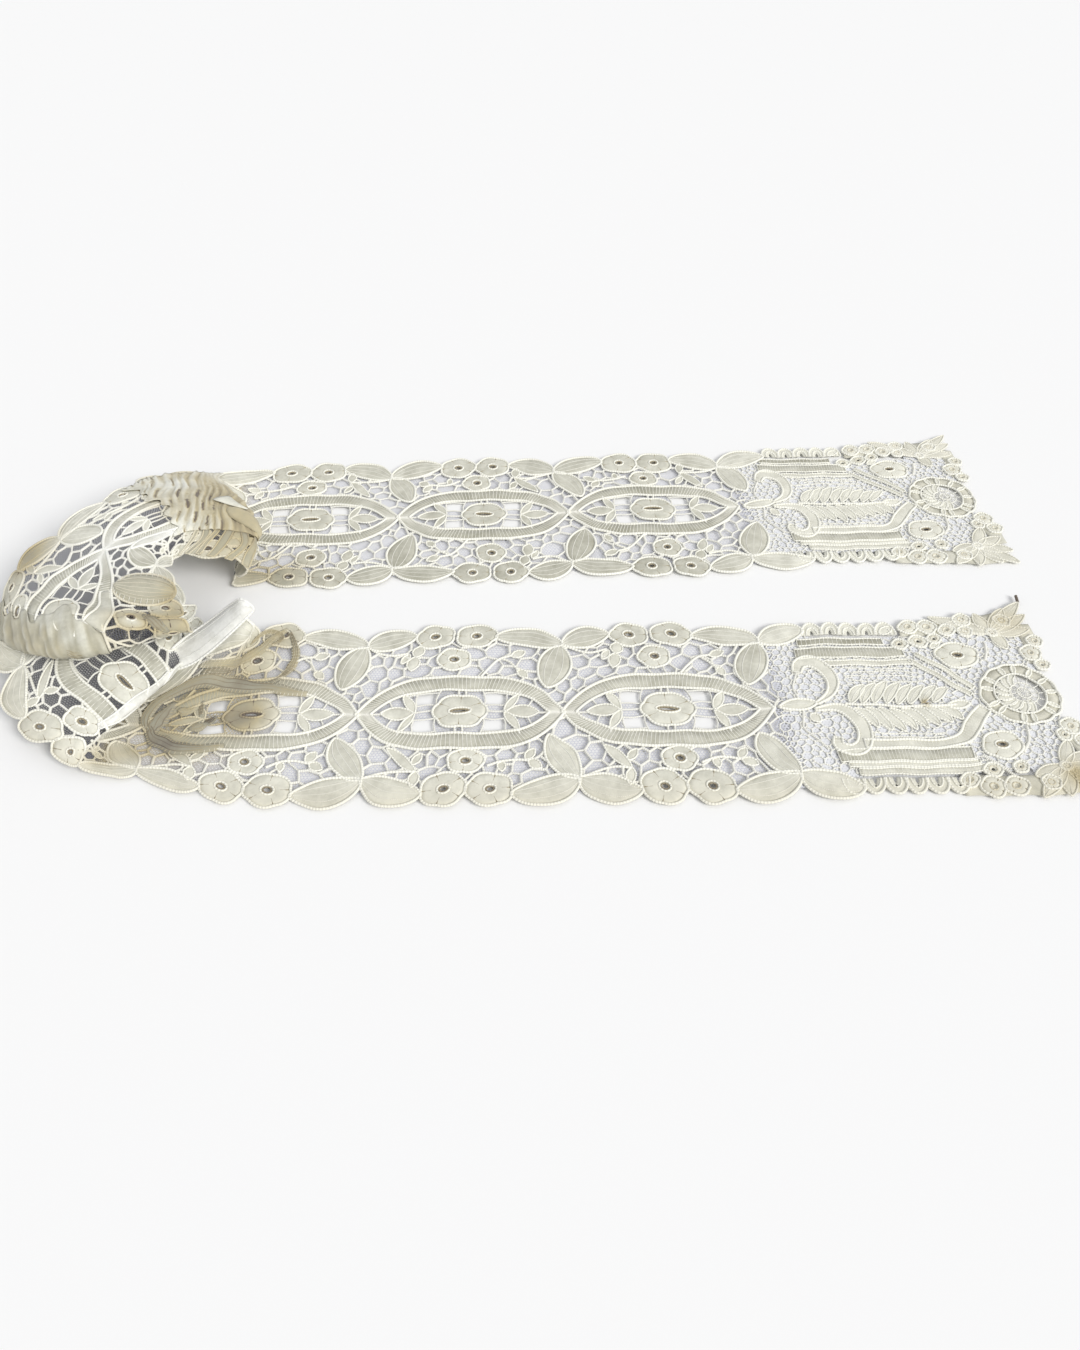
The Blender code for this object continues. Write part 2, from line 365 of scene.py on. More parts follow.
def curve(points):
    """A smooth path through a few points."""
    points = np.asarray(points, dtype=float)
    ends = np.vstack([2 * points[0] - points[1], points, 2 * points[-1] - points[-2]])
    t = np.linspace(0.0, 1.0, 12, endpoint=False)[:, None]
    runs = []
    for k in range(len(points) - 1):
        a, b, c, d = ends[k : k + 4]
        bend = 2 * a - 5 * b + 4 * c - d
        twist = 3 * b - a - 3 * c + d
        runs.append(0.5 * (2 * b + (c - a) * t + bend * t**2 + twist * t**3))
    return evenly(np.vstack(runs + [points[-1:]]))


def left_of(path):
    run = np.gradient(path, axis=0)
    run /= np.maximum(np.linalg.norm(run, axis=1), 1e-9)[:, None]
    return np.stack([-run[:, 1], run[:, 0]], axis=1)


def ribbon(work, path, half, rise=0.3, rows=5, edge=GIMP, veins=(), **looks):
    """A strip of clothwork along a path, with a raised cord round it, and veins or cross ribs on it.

    The looks are ribs (their pitch), tone, level, soil and shade, and tilt, how far the right edge is
    lifted.
    """
    ribs, tone, level = looks.get("ribs", 0.0), looks.get("tone", 0.1), looks.get("level", CLOTH_LEVEL)
    soil, tilt = looks.get("soil", 0.0), looks.get("tilt", 0.0)
    half = np.broadcast_to(np.asarray(half, dtype=float), (len(path),))
    side = left_of(path)
    share = np.linspace(-1.0, 1.0, rows)
    points = path[None] + side[None] * (half[None, :, None] * share[:, None, None])
    swell = np.minimum(1.0, half / 3.0)
    heights = level + rise * np.outer(1.0 - share**2, swell) + tilt * np.outer(0.5 - 0.5 * share, swell)
    run = np.broadcast_to(lengths(path), (rows, len(path)))
    work.patch(points, heights, np.stack([run, share[:, None] * half[None]], axis=2), tone, soil=soil)
    outline = np.concatenate([path + side * half[:, None], (path - side * half[:, None])[::-1]])
    work.shapes.append(outline)
    if edge:
        lift = np.concatenate([np.zeros(len(path)), tilt * swell[::-1]])
        work.thread("gimp", outline, edge, level + CORD_RISE + lift, closed=True, soil=soil)
    for vein in veins:
        inner = slice(1, max(3, int(len(path) * (1.0 - 0.28 * abs(vein)))))
        line = path + side * (half * vein)[:, None]
        lift = 0.5 * tilt * (1.0 - vein) * swell[inner]
        work.thread("rib", line[inner], VEIN, level + rise + 0.08 + lift, soil=soil)
    if ribs:
        reach = side * half[:, None]
        cross_ribs(work, path + reach, path - reach, ribs, level + 0.5 * rise)


def cross_ribs(work, first, second, pitch, level):
    """Fine cross threads between two edges."""
    count = max(2, int(round(lengths(0.5 * (first + second))[-1] / pitch)))
    places = np.linspace(0.0, len(first) - 1.0, count)
    index = np.arange(len(first))
    for place in places[1:-1]:
        a = [np.interp(place, index, first[:, k]) for k in (0, 1)]
        b = [np.interp(place, index, second[:, k]) for k in (0, 1)]
        work.thread("rib", [a, b], RIB, level + 0.1)


# How near the middle a leaf is widest, and the least share of that width at its ends.
LEAF_SHOULDER = 0.95
LEAF_END = 0.07


def leaf_profile(count, fullness):
    """Places from a leaf's base to its tip, from 0 to 1, and its share of the full width at each."""
    t = 0.5 - 0.5 * np.cos(np.linspace(0.0, np.pi, count))
    return t, np.maximum(np.sin(np.pi * t**LEAF_SHOULDER).clip(0.0) ** fullness, LEAF_END)


def leaf(work, base, tip, width, bend=0.0, veins=(-0.5, 0.0, 0.5), rise=0.5, edge=GIMP, **looks):
    """A leaf of clothwork from its base to its tip; a lower fullness makes its ends blunter."""
    base, tip = np.array(base, dtype=float), np.array(tip, dtype=float)
    length = np.linalg.norm(tip - base)
    count = max(6, int(round(length / PATH_STEP)) + 1)
    t, profile = leaf_profile(count, looks.pop("fullness", 0.62))
    run = (tip - base) / length
    t = t[:, None]
    path = base + (tip - base) * t + np.array([-run[1], run[0]]) * bend * 4 * t * (1 - t)
    ribbon(work, path, 0.5 * width * profile, rise, 7 if width > 9 else 5, edge, veins, **looks)


def arm(work, start, end, width):
    """A short slender bud or prong."""
    leaf(work, start, end, width, veins=(), rise=0.35, edge=FINE_CORD, fullness=0.7, tone=0.05)


def bar(work, *points, radius=BAR):
    work.thread("bar", evenly(points, 3.0), radius, BAR_LEVEL)


def towards(angle):
    return np.array([math.cos(angle), math.sin(angle)])


def ring_of(angle, size):
    return np.stack([np.cos(angle) * size[0], np.sin(angle) * size[1]], axis=1)


# Half an eyelet's length and width, and the cords round it.
EYELET = (1.5, 1.25)
EYELET_RINGS = (
    # gap, cord, rise, soil and shade; the first, dark ring is painted shade inside the raised ring
    (0.2, 0.36, -0.02, EYELET_SHADE),
    (1.2, 0.5, 0.2, 0.0),
)
SMALL_FLOWER = 6.0


def flower(work, centre, size, petals=5, eyelet=EYELET, turn=0.0, notch=0.1, rings=EYELET_RINGS):
    """A round flower of clothwork with scalloped petals, an open eyelet and a cord round each."""
    centre = np.array(centre)
    small = max(size) < SMALL_FLOWER
    count = (5 if small else 8) * petals
    angle = np.linspace(0.0, 2 * np.pi, count, endpoint=False)
    bulge = 1.0 - notch * (1.0 - np.abs(np.sin(0.5 * petals * (angle + turn))) ** 0.8)
    outer = ring_of(angle, size) * bulge[:, None] + centre
    inner = ring_of(angle, eyelet) * (1.0 + 0.16 * np.sin(3.0 * angle + 5.0 * turn))[:, None] + centre
    share = np.array([0.0, 0.5, 1.0] if small else [0.0, 0.3, 0.7, 1.0])
    points = inner[None] + (outer - inner)[None] * share[:, None, None]
    heights = np.broadcast_to(CLOTH_LEVEL + 0.5 * np.sin(np.pi * share)[:, None], points.shape[:2])
    turned = np.linspace(0.0, 2 * np.pi, count + 1)
    reach = 0.5 * (size[0] + size[1])
    grain = np.stack(np.broadcast_arrays(share[:, None] * reach, turned[None] * reach * 0.5), axis=2)
    work.patch(points, heights, grain, 0.0, closed=True)
    work.shapes.append(outer)
    work.thread("gimp", outer, GIMP * 0.95, CORD_LEVEL, closed=True)
    for gap, cord, rise, soil in rings:
        ring = ring_of(angle[::2], (eyelet[0] + gap, eyelet[1] + gap)) + centre
        work.thread("gimp", ring, cord, CORD_LEVEL + rise, closed=True, soil=soil)
    for k in range(petals):
        spoke = 2 * np.pi * k / petals - turn
        way = towards(spoke) * size
        line = evenly([centre + way * 0.5, centre + way * (1.0 - notch)], 2.5)
        # the dark spokes are painted shade in the slits between the petals
        work.thread("rib", line, VEIN * 1.2, CLOTH_LEVEL + 0.42, soil=1.4)


def oval(length, height, power, share):
    return np.stack([length * share, height * (1.0 - np.abs(share) ** power)], axis=1)


# The outer and inner edge of a medallion's ring: half its length and height, and how square it is.
RING_OUTER = (48.2, 21.0, 3.7)
RING_INNER = (41.5, 12.7, 4.0)
# One of a medallion's four largest gaps and the cords round it, in mm from the medallion's middle.
GAP = np.array([
    (11.4, 4.3), (16.0, 4.6), (20.9, 4.4), (21.3, 8.0),
    (20.7, 11.1), (15.5, 11.3), (10.8, 10.8), (11.5, 8.0),
])
GAP_CORDS = (
    ((11.0, 3.6), (16.0, 4.4), (21.6, 4.0)),
    ((10.2, 10.9), (15.5, 11.5), (21.3, 11.0), (26.0, 9.8)),
    ((11.3, 4.0), (11.5, 8.0), (9.6, 12.9)),
    ((20.8, 4.4), (21.4, 8.0), (20.6, 11.2), (22.5, 12.4)),
)


def medallion(work, centre):
    """A long ring of braid that comes to a point at each crossing, round a flower and two sprigs."""
    share = np.sin(np.linspace(-0.5 * np.pi, 0.5 * np.pi, 57))
    rows = np.linspace(0.0, 1.0, 3)
    for up in (1.0, -1.0):
        outer = oval(*RING_OUTER, share) * (1.0, up) + (centre, 0.0)
        inner = oval(*RING_INNER, share) * (1.0, up) + (centre, 0.0)
        points = inner[None] + (outer - inner)[None] * rows[:, None, None]
        heights = np.broadcast_to(CLOTH_LEVEL + 0.1 * np.sin(np.pi * rows)[:, None], points.shape[:2])
        run = np.broadcast_to(lengths(outer), heights.shape)
        grain = np.stack([run, np.broadcast_to(rows[:, None] * 8.0, heights.shape)], axis=2)
        work.patch(points, heights, grain, 0.42)
        work.shapes.append(np.concatenate([outer, inner[::-1]]))
        work.unbarred.append(outer)
        work.thread("gimp", evenly(outer), GIMP * 1.15, CORD_LEVEL)
        work.thread("gimp", evenly(inner), GIMP, CORD_LEVEL)
        cross_ribs(work, outer, inner, 1.35, CLOTH_LEVEL + 0.1)
    flower(work, (centre, 0.0), (12.6, 9.8), 6, (4.2, 0.8), 0.5)
    for way in (1.0, -1.0):
        def at(offset, across):
            return (centre + way * offset, across)

        bar(work, at(12.4, 0.6), at(21.0, 0.3), radius=0.5)
        arm(work, at(21.0, 0.3), at(26.8, 10.6), 4.0)
        arm(work, at(21.0, -0.3), at(27.2, -10.6), 4.0)
        arm(work, at(22.0, 0.0), at(36.5, 0.2), 7.0)
        bar(work, at(35.0, 0.0), at(42.5, 0.0))
        bar(work, at(26.6, 10.0), at(27.4, 12.6))
        bar(work, at(26.8, -10.0), at(27.4, -12.6))
        bar(work, at(31.0, 2.5), at(34.0, 8.6), radius=0.45)
        bar(work, at(31.0, -2.5), at(34.0, -8.6), radius=0.45)
        bar(work, at(1.6, 9.6), at(1.6, 13.0))
        bar(work, at(1.6, -9.6), at(1.6, -13.0))
        for up in (1.0, -1.0):
            for cord in GAP_CORDS:
                bar(work, *(np.array(cord) * (way, up) + (centre, 0.0)), radius=0.42)


def crossing_leaves(work):
    """Three leaves from one joint at each edge; places are (back, across) from the nearest crossing."""
    inner_joint = (1.0, 42.0)
    leaf(work, inner_joint, (24.0, 48.0), 13.5, 1.6)
    leaf(work, inner_joint, (-31.5, 46.5), 12.0, -2.6)
    leaf(work, (-0.5, 41.5), (-8.0, 15.0), 15.5, 0.0, tone=0.3)
    outer_joint = (5.8, -36.5)
    leaf(work, outer_joint, (32.5, -45.0), 14.5, -2.6)
    leaf(work, outer_joint, (-23.5, -45.0), 14.5, 2.6)
    leaf(work, outer_joint, (-7.5, -13.5), 13.0, 1.5)


# The flowers, stems and buds of one repeat, in mm (back from a crossing, across).
REPEAT_FLOWERS = (
    # back, across, half-size along, half-size across
    (33.6, 47.4, 9.6, 7.8),
    (54.0, 47.6, 10.4, 7.6),
    (43.9, 32.4, 8.0, 7.2),
    (41.8, -43.0, 10.2, 9.2),
    (62.0, -42.8, 10.6, 9.0),
    (50.4, -28.0, 8.2, 6.8),
)
STEMS = (
    ((2.0, 41.0), (8.0, 37.6), (14.0, 36.0), (22.0, 37.5)),
    ((56.0, 21.5), (60.0, 27.0), (65.0, 32.5), (71.0, 34.5)),
    ((66.0, 33.0), (70.5, 30.0), (74.0, 25.0)),
    ((7.0, -36.0), (14.0, -33.6), (22.0, -32.4), (28.7, -33.0)),
    ((60.0, -30.5), (66.0, -27.8), (72.0, -27.0), (78.0, -27.8)),
)
BUDS = (
    # base, tip, width
    ((22.5, 36.8), (19.0, 31.0), 3.6),
    ((25.5, 35.0), (27.5, 42.0), 6.0),
    ((25.5, 35.0), (23.5, 26.0), 6.0),
    ((71.0, 34.0), (78.0, 37.0), 4.6),
    ((73.5, 26.0), (77.5, 21.0), 4.2),
    ((28.7, -33.0), (16.5, -19.5), 4.8),
    ((28.7, -33.0), (27.5, -41.5), 4.6),
    ((27.5, -29.0), (31.5, -23.0), 3.8),
    ((78.0, -27.5), (84.0, -31.0), 4.8),
    ((76.5, -27.0), (80.5, -21.5), 4.4),
    ((66.0, -27.5), (66.5, -33.0), 3.6),
)


def repeat_sprigs(work):
    """Stems and buds between the medallion and the edges of one repeat."""
    for stem in STEMS:
        work.thread("gimp", curve(stem), GIMP * 0.95, CORD_LEVEL)
    for base, tip, width in BUDS:
        arm(work, base, tip, width)


def repeat_work():
    """One repeat: a medallion, its flowers and sprigs; the first axis runs back from a crossing."""
    work = Work()
    medallion(work, 0.5 * MEDALLION)
    for k, (back, across, half_along, half_across) in enumerate(REPEAT_FLOWERS):
        flower(work, (back, across), (half_along, half_across), turn=0.6 * k)
    repeat_sprigs(work)
    return work


# ---------------------------------------------------------------- an end panel


SCROLLS = (
    # path, where along it the half-widths are given, the half-widths
    (
        ((16.5, 21.5), (18.5, 26.5), (23.5, 28.0), (29.0, 24.0), (31.5, 15.5), (28.5, 7.5), (21.0, 2.0)),
        (0.0, 0.18, 0.6, 1.0),
        (2.0, 3.4, 2.8, 0.7),
    ),
    (
        (
            (20.0, -1.5), (30.0, -1.2), (37.5, -6.0), (40.0, -14.5),
            (37.5, -22.5), (32.0, -25.5), (27.0, -22.5), (27.5, -18.0),
        ),
        (0.0, 0.35, 0.75, 1.0),
        (0.8, 3.0, 3.0, 1.8),
    ),
)


def tapered(path, shares, widths):
    """Half-widths for a path, from a few given at shares of its run."""
    return np.interp(np.linspace(0.0, 1.0, len(path)), shares, widths)


def scrolls(work):
    """The two C-scrolls and the bud that join a panel to its crossing; places are (past, across)."""
    leaf(work, (21.0, 2.4), (3.5, 0.6), 6.4, 0.0, (0.0,))
    for points, shares, widths in SCROLLS:
        path = curve(points)
        ribbon(work, path, tapered(path, shares, widths), ribs=1.8)
    arm(work, (17.5, -4.0), (21.5, -9.0), 4.6)
    bar(work, (14.0, 2.0), (12.0, 12.0), (16.0, 21.0))
    bar(work, (14.0, -2.0), (13.0, -12.0), (22.0, -24.0))


BORDERS = (
    # start, stop, across, width, rib pitch, tone: straight braids of a panel's frame
    (20.0, 62.0, 40.3, 4.0, 2.1, 0.9),
    (18.0, 70.0, 33.2, 6.4, 1.5, 0.6),
    (31.0, 72.0, 26.4, 3.0, 1.8, 0.15),
    (25.0, 84.0, -28.4, 6.4, 1.5, 0.6),
    (28.0, 86.0, -33.4, 2.2, 2.2, 0.05),
    (32.0, 88.0, -37.0, 3.4, 1.8, 0.15),
)
BENT_BRAID = (
    (38.0, -22.3), (58.0, -22.2), (74.0, -22.4), (83.0, -20.0), (88.5, -14.0), (93.5, -8.5), (98.5, -4.0),
)


def frame_braids(work):
    """The straight and slanting braids that frame a panel's feather."""
    for start, stop, across, width, pitch, tone in BORDERS:
        path = evenly(((start, across), (stop, across)))
        ribbon(work, path, 0.5 * width, 0.1, 3, FINE_CORD, ribs=pitch, tone=tone)
    for shift in (0.0, 4.0):
        stop = (95.0 + 0.5 * shift, 4.0 + shift)
        path = curve(((71.0 + shift, 27.5 + shift), (83.0 + shift, 15.5 + shift), stop))
        ribbon(work, path, 1.1, 0.1, 3, FINE_CORD)
    bent = curve(BENT_BRAID)
    reach = tapered(bent, (0.0, 0.6, 0.8, 1.0), (2.2, 2.3, 3.3, 2.6))
    ribbon(work, bent, reach, 0.15, 5, GIMP, ribs=1.6, tone=0.25)


# Where the fine lines on both sides of the feather lie across the panel, in mm.
FEATHER_LINES = (23.0, 20.5, 18.0, 15.5, 10.0, 6.0, -6.0, -9.5, -15.5, -17.5)


def feather(work):
    """A long feather leaf on the panel's axis, with slanting lobes on both sides of its midrib."""
    midrib = curve(((34.0, 0.8), (60.0, -0.5), (86.0, -1.0)))
    work.thread("gimp", midrib, GIMP, CORD_LEVEL + 0.2)
    for k in range(8):
        past = 37.0 + 5.6 * k
        reach = 13.0 - 1.1 * abs(k - 2)
        inner = ((past, 1.2), (past + 8.5, 1.6 + reach))
        outer = ((past + 1.0, -1.6), (past + 10.0, -2.4 - reach))
        for base, tip in (inner, outer):
            leaf(work, base, tip, 5.2, 1.4, (0.0,), 0.35, FINE_CORD, tone=0.0)
    leaf(work, (82.0, -1.0), (92.5, -1.2), 5.0, 0.0, ())
    for k, across in enumerate(FEATHER_LINES):
        start, stop = 40.0 + 3.0 * math.sin(2.0 * k), 84.0 - 0.55 * abs(across)
        middle = (0.5 * (start + stop), across + 1.2 * math.sin(1.3 * k))
        work.thread("gimp", curve(((start, across), middle, (stop, across - 0.8))), 0.34, BAR_LEVEL)


def rose(work):
    """An open rose at the end: a ring of cells, a rim of curled petals and a small centre."""
    centre = np.array([117.5, 2.5])
    angle = np.linspace(0.0, 2 * np.pi, 72, endpoint=False)
    scallops = (1.0 + 0.045 * np.abs(np.sin(6.5 * angle)))[:, None]
    work.thread("gimp", ring_of(angle, (17.6, 17.3)) * scallops + centre, GIMP, CORD_LEVEL, closed=True)
    work.thread("gimp", ring_of(angle, (11.8, 11.6)) + centre, FINE_CORD * 1.2, CORD_LEVEL, closed=True)
    work.shapes.append(ring_of(angle, (18.2, 18.2)) + centre)
    cells = 13
    for k in range(cells):
        turn = 2 * np.pi * (k + 0.18 * math.sin(3.0 * k)) / cells
        way = towards(turn)
        arm(work, centre + way * 11.6, centre + way * 17.6, 2.2)
    ring = np.vstack([ring_of(angle, (14.7, 14.5)), ring_of(angle[:1], (14.7, 14.5))]) + centre
    ribbon(work, ring, 2.9, 0.0, 3, 0.0, tone=0.3, level=CLOTH_LEVEL - 0.25, soil=0.15)
    for k in range(9):
        turn = math.radians(92.0 + 23.0 * k)
        way = towards(turn)
        side = np.array([-way[1], way[0]])
        heart = centre + way * 4.4 + side * 1.8
        petal = curve((centre + way * 11.0, centre + way * 8.2 + side * 1.6, heart))
        ribbon(work, petal, np.linspace(1.6, 0.8, len(petal)), 0.3, 3, FINE_CORD, tone=-0.1)
    web = centre + (2.0, 0.0)
    for radius in (3.0, 6.0):
        work.thread("gimp", ring_of(angle[::3], (radius, radius)) + web, 0.3, CORD_LEVEL, closed=True)
    for k in range(12):
        way = towards(math.pi * k / 6)
        bar(work, web + way * 1.2, web + way * (9.5 if way[0] > -0.2 else 6.0), radius=0.28)


SPRAYS = (
    # middle, tips of the leaves that spread from it, in mm (past, across)
    (
        (117.0, 41.5),
        (
            (137.5, 62.0), (138.0, 53.0), (136.0, 43.0), (128.0, 57.5),
            (89.0, 55.5), (97.0, 50.5), (112.0, 55.0), (120.5, 31.0),
        ),
    ),
    (
        (123.0, -39.5),
        (
            (140.0, -53.0), (140.5, -43.5), (137.0, -33.0), (131.5, -53.0),
            (118.5, -55.0), (107.5, -54.0), (108.0, -43.5), (129.0, -25.0),
        ),
    ),
)
CORNER_CLOTH = (
    # path of plain close clothwork behind the corners' leaves, and its half-width
    (((72.0, 48.0), (96.0, 48.5), (116.0, 49.5), (133.0, 53.0)), 4.6),
    (((134.0, 47.0), (133.5, 36.0), (132.5, 21.0)), 3.6),
    (((76.0, -45.0), (98.0, -47.0), (118.0, -48.5), (136.0, -47.0)), 5.0),
    (((136.5, -38.0), (134.5, -27.0), (131.0, -16.5)), 3.8),
)
SMALL_RINGS = (
    # gap, cord, rise, soil and shade; the browner ring is painted shade round the small eyelet
    (1.0, 0.4, 0.1, 0.5),
)
CORNER_FLOWERS = (
    # past, across, size: small flowers between the sprays, the loops and the rose
    (131.0, 27.5, 5.4),
    (135.5, 35.0, 4.0),
    (134.5, 20.0, 3.6),
    (133.0, -17.5, 5.2),
    (136.5, -25.5, 4.2),
    (128.5, -22.0, 3.8),
    (125.0, 49.5, 4.2),
    (105.0, 51.5, 4.4),
    (104.5, 44.0, 3.6),
    (113.5, -47.0, 4.2),
    (103.5, -38.0, 3.6),
)


def corner_sprays(work):
    """The two corners of the end edge, each a spray of slender leaves, and the flowers beside them."""
    for middle, tips in SPRAYS:
        for tip in tips:
            leaf(work, middle, tip, 6.8, 0.0, (0.0,), 0.35, FINE_CORD, soil=0.12)
        flower(work, middle, (2.6, 2.6), 5, (0.8, 0.8))
    for path, reach in CORNER_CLOTH:
        path = curve(path)
        ribbon(work, path, reach, 0.2, 5, 0.0, tone=0.3, level=CLOTH_LEVEL - 0.35, soil=0.1)
    flower(work, (95.0, 29.0), (10.6, 8.2), 5, (2.0, 1.0), 0.3)
    flower(work, (98.5, -25.5), (9.6, 7.8), 5, (1.9, 1.0), 0.9)
    for past, across, size in CORNER_FLOWERS:
        half = (size, size * 0.94)
        flower(work, (past, across), half, 5, (0.5, 0.5), 0.4, 0.16, SMALL_RINGS)
    bar(work, (111.0, 34.5), (109.5, 29.0), (107.0, 24.0), radius=0.8)
    bar(work, (107.5, -30.0), (112.0, -24.0), (113.0, -16.0), radius=0.8)
    bar(work, (88.0, -30.5), (93.0, -35.0), (101.0, -44.0), radius=0.8)


LOOP_FLOWERS = (
    # past, across, half-size along, half-size across
    (77.0, 49.5, 5.6, 4.8),
    (86.5, 49.0, 5.0, 4.6),
    (96.0, 46.0, 4.4, 4.0),
    (70.0, 38.0, 4.2, 3.6),
    (79.5, 39.5, 4.6, 4.0),
    (88.0, 41.0, 3.8, 3.4),
    (88.0, -47.0, 5.6, 5.4),
    (98.0, -47.5, 5.6, 5.2),
    (79.0, -42.5, 4.6, 4.0),
    (90.5, -38.5, 4.2, 3.6),
)


def edge_loops(work):
    """Small scalloped loops along both edges of a panel, and the little flowers that end each row."""
    turn = np.linspace(0.0, np.pi, 12)
    for across, way, count in ((45.0, 1.0, 5), (-40.6, -1.0, 6)):
        for k in range(count):
            middle = (28.0 + 9.2 * k, across)
            for reach, depth, cord in ((5.0, 8.0, GIMP * 0.95), (2.6, 4.9, FINE_CORD)):
                work.thread("gimp", ring_of(turn, (reach, depth * way)) + middle, cord, CORD_LEVEL)
            rim = ring_of(turn, (3.3, 5.7 * way)) + middle
            ribbon(work, rim, 2.5, 0.1, 5, 0.0, tone=0.0)
            work.shapes.append(ring_of(turn, (5.0, 8.0 * way)) + middle)
    for past, across, along, wide in LOOP_FLOWERS:
        flower(work, (past, across), (along, wide), 4, (0.8, 0.7), 0.7, 0.16, SMALL_RINGS)
    arm(work, (62.0, 45.5), (69.0, 50.5), 4.4)
    arm(work, (84.0, 35.0), (90.0, 38.5), 3.6)


def panel_work():
    """An end panel; the first axis is the distance past the outer crossing beside it."""
    work = Work()
    scrolls(work)
    frame_braids(work)
    feather(work)
    rose(work)
    corner_sprays(work)
    edge_loops(work)
    return work


# ---------------------------------------------------------------- gathers in the turn


# Gathered stretches: where they lie along and across, how much further they reach at the middle line
# (crown), the pleats' pitch and how far it runs forward and aside, and their height, depth and colour.
PLEAT_COLUMNS = (
    "start", "stop", "crown", "low", "high", "pitch", "forward", "aside", "bow",
    "level", "depth", "tone", "soil", "slits",
)
# the slits column sets how dark the painted shade in the pleats' slits is
PLEATS = (
    (651.0, 706.0, 0.0, -47.0, 31.0, 4.3, 1.0, 0.3, 0.006, 2.5, 0.85, -0.42, 0.0, 2.6),
    (543.0, 561.0, 9.0, -49.0, 21.0, 6.5, 0.17, 0.98, 0.0, 2.2, 0.6, 0.1, 0.05, 0.6),
)
# How far apart a gathered stretch's points are along and across, and how strongly painted shade browns its
# valleys and painted highlight pales its ridges.
PLEAT_GRID = (0.8, 1.5)
PLEAT_SHADE = 0.45


def pleated(
    work, start, stop, crown, low, high, pitch, forward, aside, bow, level, depth, tone, soil, slits
):
    """Clothwork drawn up into fine uneven pleats, with painted shade in their valleys, painted highlight on
    their ridges and a dark slit of painted shade here and there.
    """
    share = np.linspace(0.0, 1.0, int((stop - start) / PLEAT_GRID[0]) + 1)[None, :]
    side = np.arange(low, high, PLEAT_GRID[1])[:, None]
    ragged = (1.8 * np.sin(side / 1.9) + 1.6 * np.sin(side / 4.3)) * (2.0 * share - 1.0)
    run = start + (stop - start + crown * bell(side, 0.0, 9.0)) * share + ragged
    place = forward * run + aside * side - bow * side**2
    wander = 0.9 * np.sin((side - run) / 7.3) + 1.9 * np.sin(place / 6.7) + 0.7 * np.sin(place / 2.9)
    phase = (place + wander) / pitch
    uneven = 0.62 + 0.38 * np.sin(place / 3.3 + side / 8.0)
    fold = (uneven * np.sin(2.0 * np.pi * phase) + 0.4 * np.sin(4.6 * np.pi * phase + side / 5.0))
    fold = fold * np.sin(np.pi * (0.15 + 0.7 * share))
    flank = -np.sin(2.0 * np.pi * phase + 0.8)
    puff = np.sin(side / 3.7 + run / 4.1) * np.sin(side / 6.1 - run / 7.0)
    points = np.stack([run, side + 0.0 * run], axis=2)
    open_length = np.clip(5.0 * np.sin(side / 4.6 + 2.6 * np.floor(phase + 0.25)) - 1.5, 0.0, 1.0)
    slit = slits * np.clip((flank - 0.6) / 0.3, 0.0, 1.0) * open_length * bell(share, 0.25, 0.2)
    # tone: painted shade in the valleys, and darker towards the stretch's start
    shade = tone + 0.17 * (1.0 - fold) + 0.25 * (1.0 - share) ** 2
    # over the row's own soil: painted shade in the slits and valleys, painted highlight on the ridges
    stain_and_shade = soil + slit - PLEAT_SHADE * fold
    work.patch(points, level + depth * (0.8 * fold + 0.5 * puff), points, shade, soil=stain_and_shade)
    work.shapes.append(np.array([(start, low), (stop, low), (stop, high), (start, high)]))


SCRAPS = (
    # path, half-width, tone, soil and shade: loose brown braid and folds over the near leg and in the turn
    (
        (
            (421.0, -3.0), (424.5, 8.0), (423.5, 17.0), (414.0, 24.5),
            (402.0, 24.5), (383.0, 18.5), (352.0, 11.5),
        ),
        4.6, 0.3, 0.7,
    ),
    (
        ((421.0, 0.0), (416.0, -9.0), (410.0, -16.0), (403.0, -20.5), (394.0, -21.5), (384.0, -19.0)),
        4.2, 0.3, 0.65,
    ),
    (((417.0, -8.0), (417.0, 4.0), (415.0, 14.0)), 5.0, 0.3, 0.6),
    (
        ((417.0, 34.5), (402.0, 34.0), (388.0, 34.5), (379.0, 39.0), (375.0, 45.0), (368.0, 51.0)),
        3.4, 0.1, 0.35,
    ),
    (((413.0, 31.0), (404.0, 29.5), (394.0, 30.5)), 2.4, 0.2, 0.9),
    (((385.0, 43.0), (377.0, 50.0), (370.0, 45.0), (376.0, 40.0)), 1.5, 0.1, 0.5),
    (((367.0, 50.0), (363.5, 42.0), (361.0, 33.0), (363.5, 24.0), (370.0, 18.0)), 2.2, 0.3, 0.9),
    (((411.0, 9.5), (406.0, 7.0), (401.0, 9.0)), 2.6, 0.0, 0.1),
    (((401.0, -7.5), (397.0, -6.0), (394.0, -4.0)), 3.2, 0.2, 0.6),
    (((395.0, -5.0), (392.5, -2.5), (391.0, 1.0)), 2.0, 0.3, 1.2),
    (((398.0, 1.5), (399.0, 7.0), (401.0, 13.0)), 1.2, 0.3, 0.8),
    (((552.5, 1.0), (551.0, 6.0), (551.5, 11.0)), 1.9, 0.7, 0.8),
    (((572.0, 38.0), (566.0, 42.0), (562.0, 46.0)), 2.6, 0.3, 0.3),
)
DOME_VEINS = (-0.75, -0.5, -0.25, 0.0, 0.25, 0.5, 0.75)


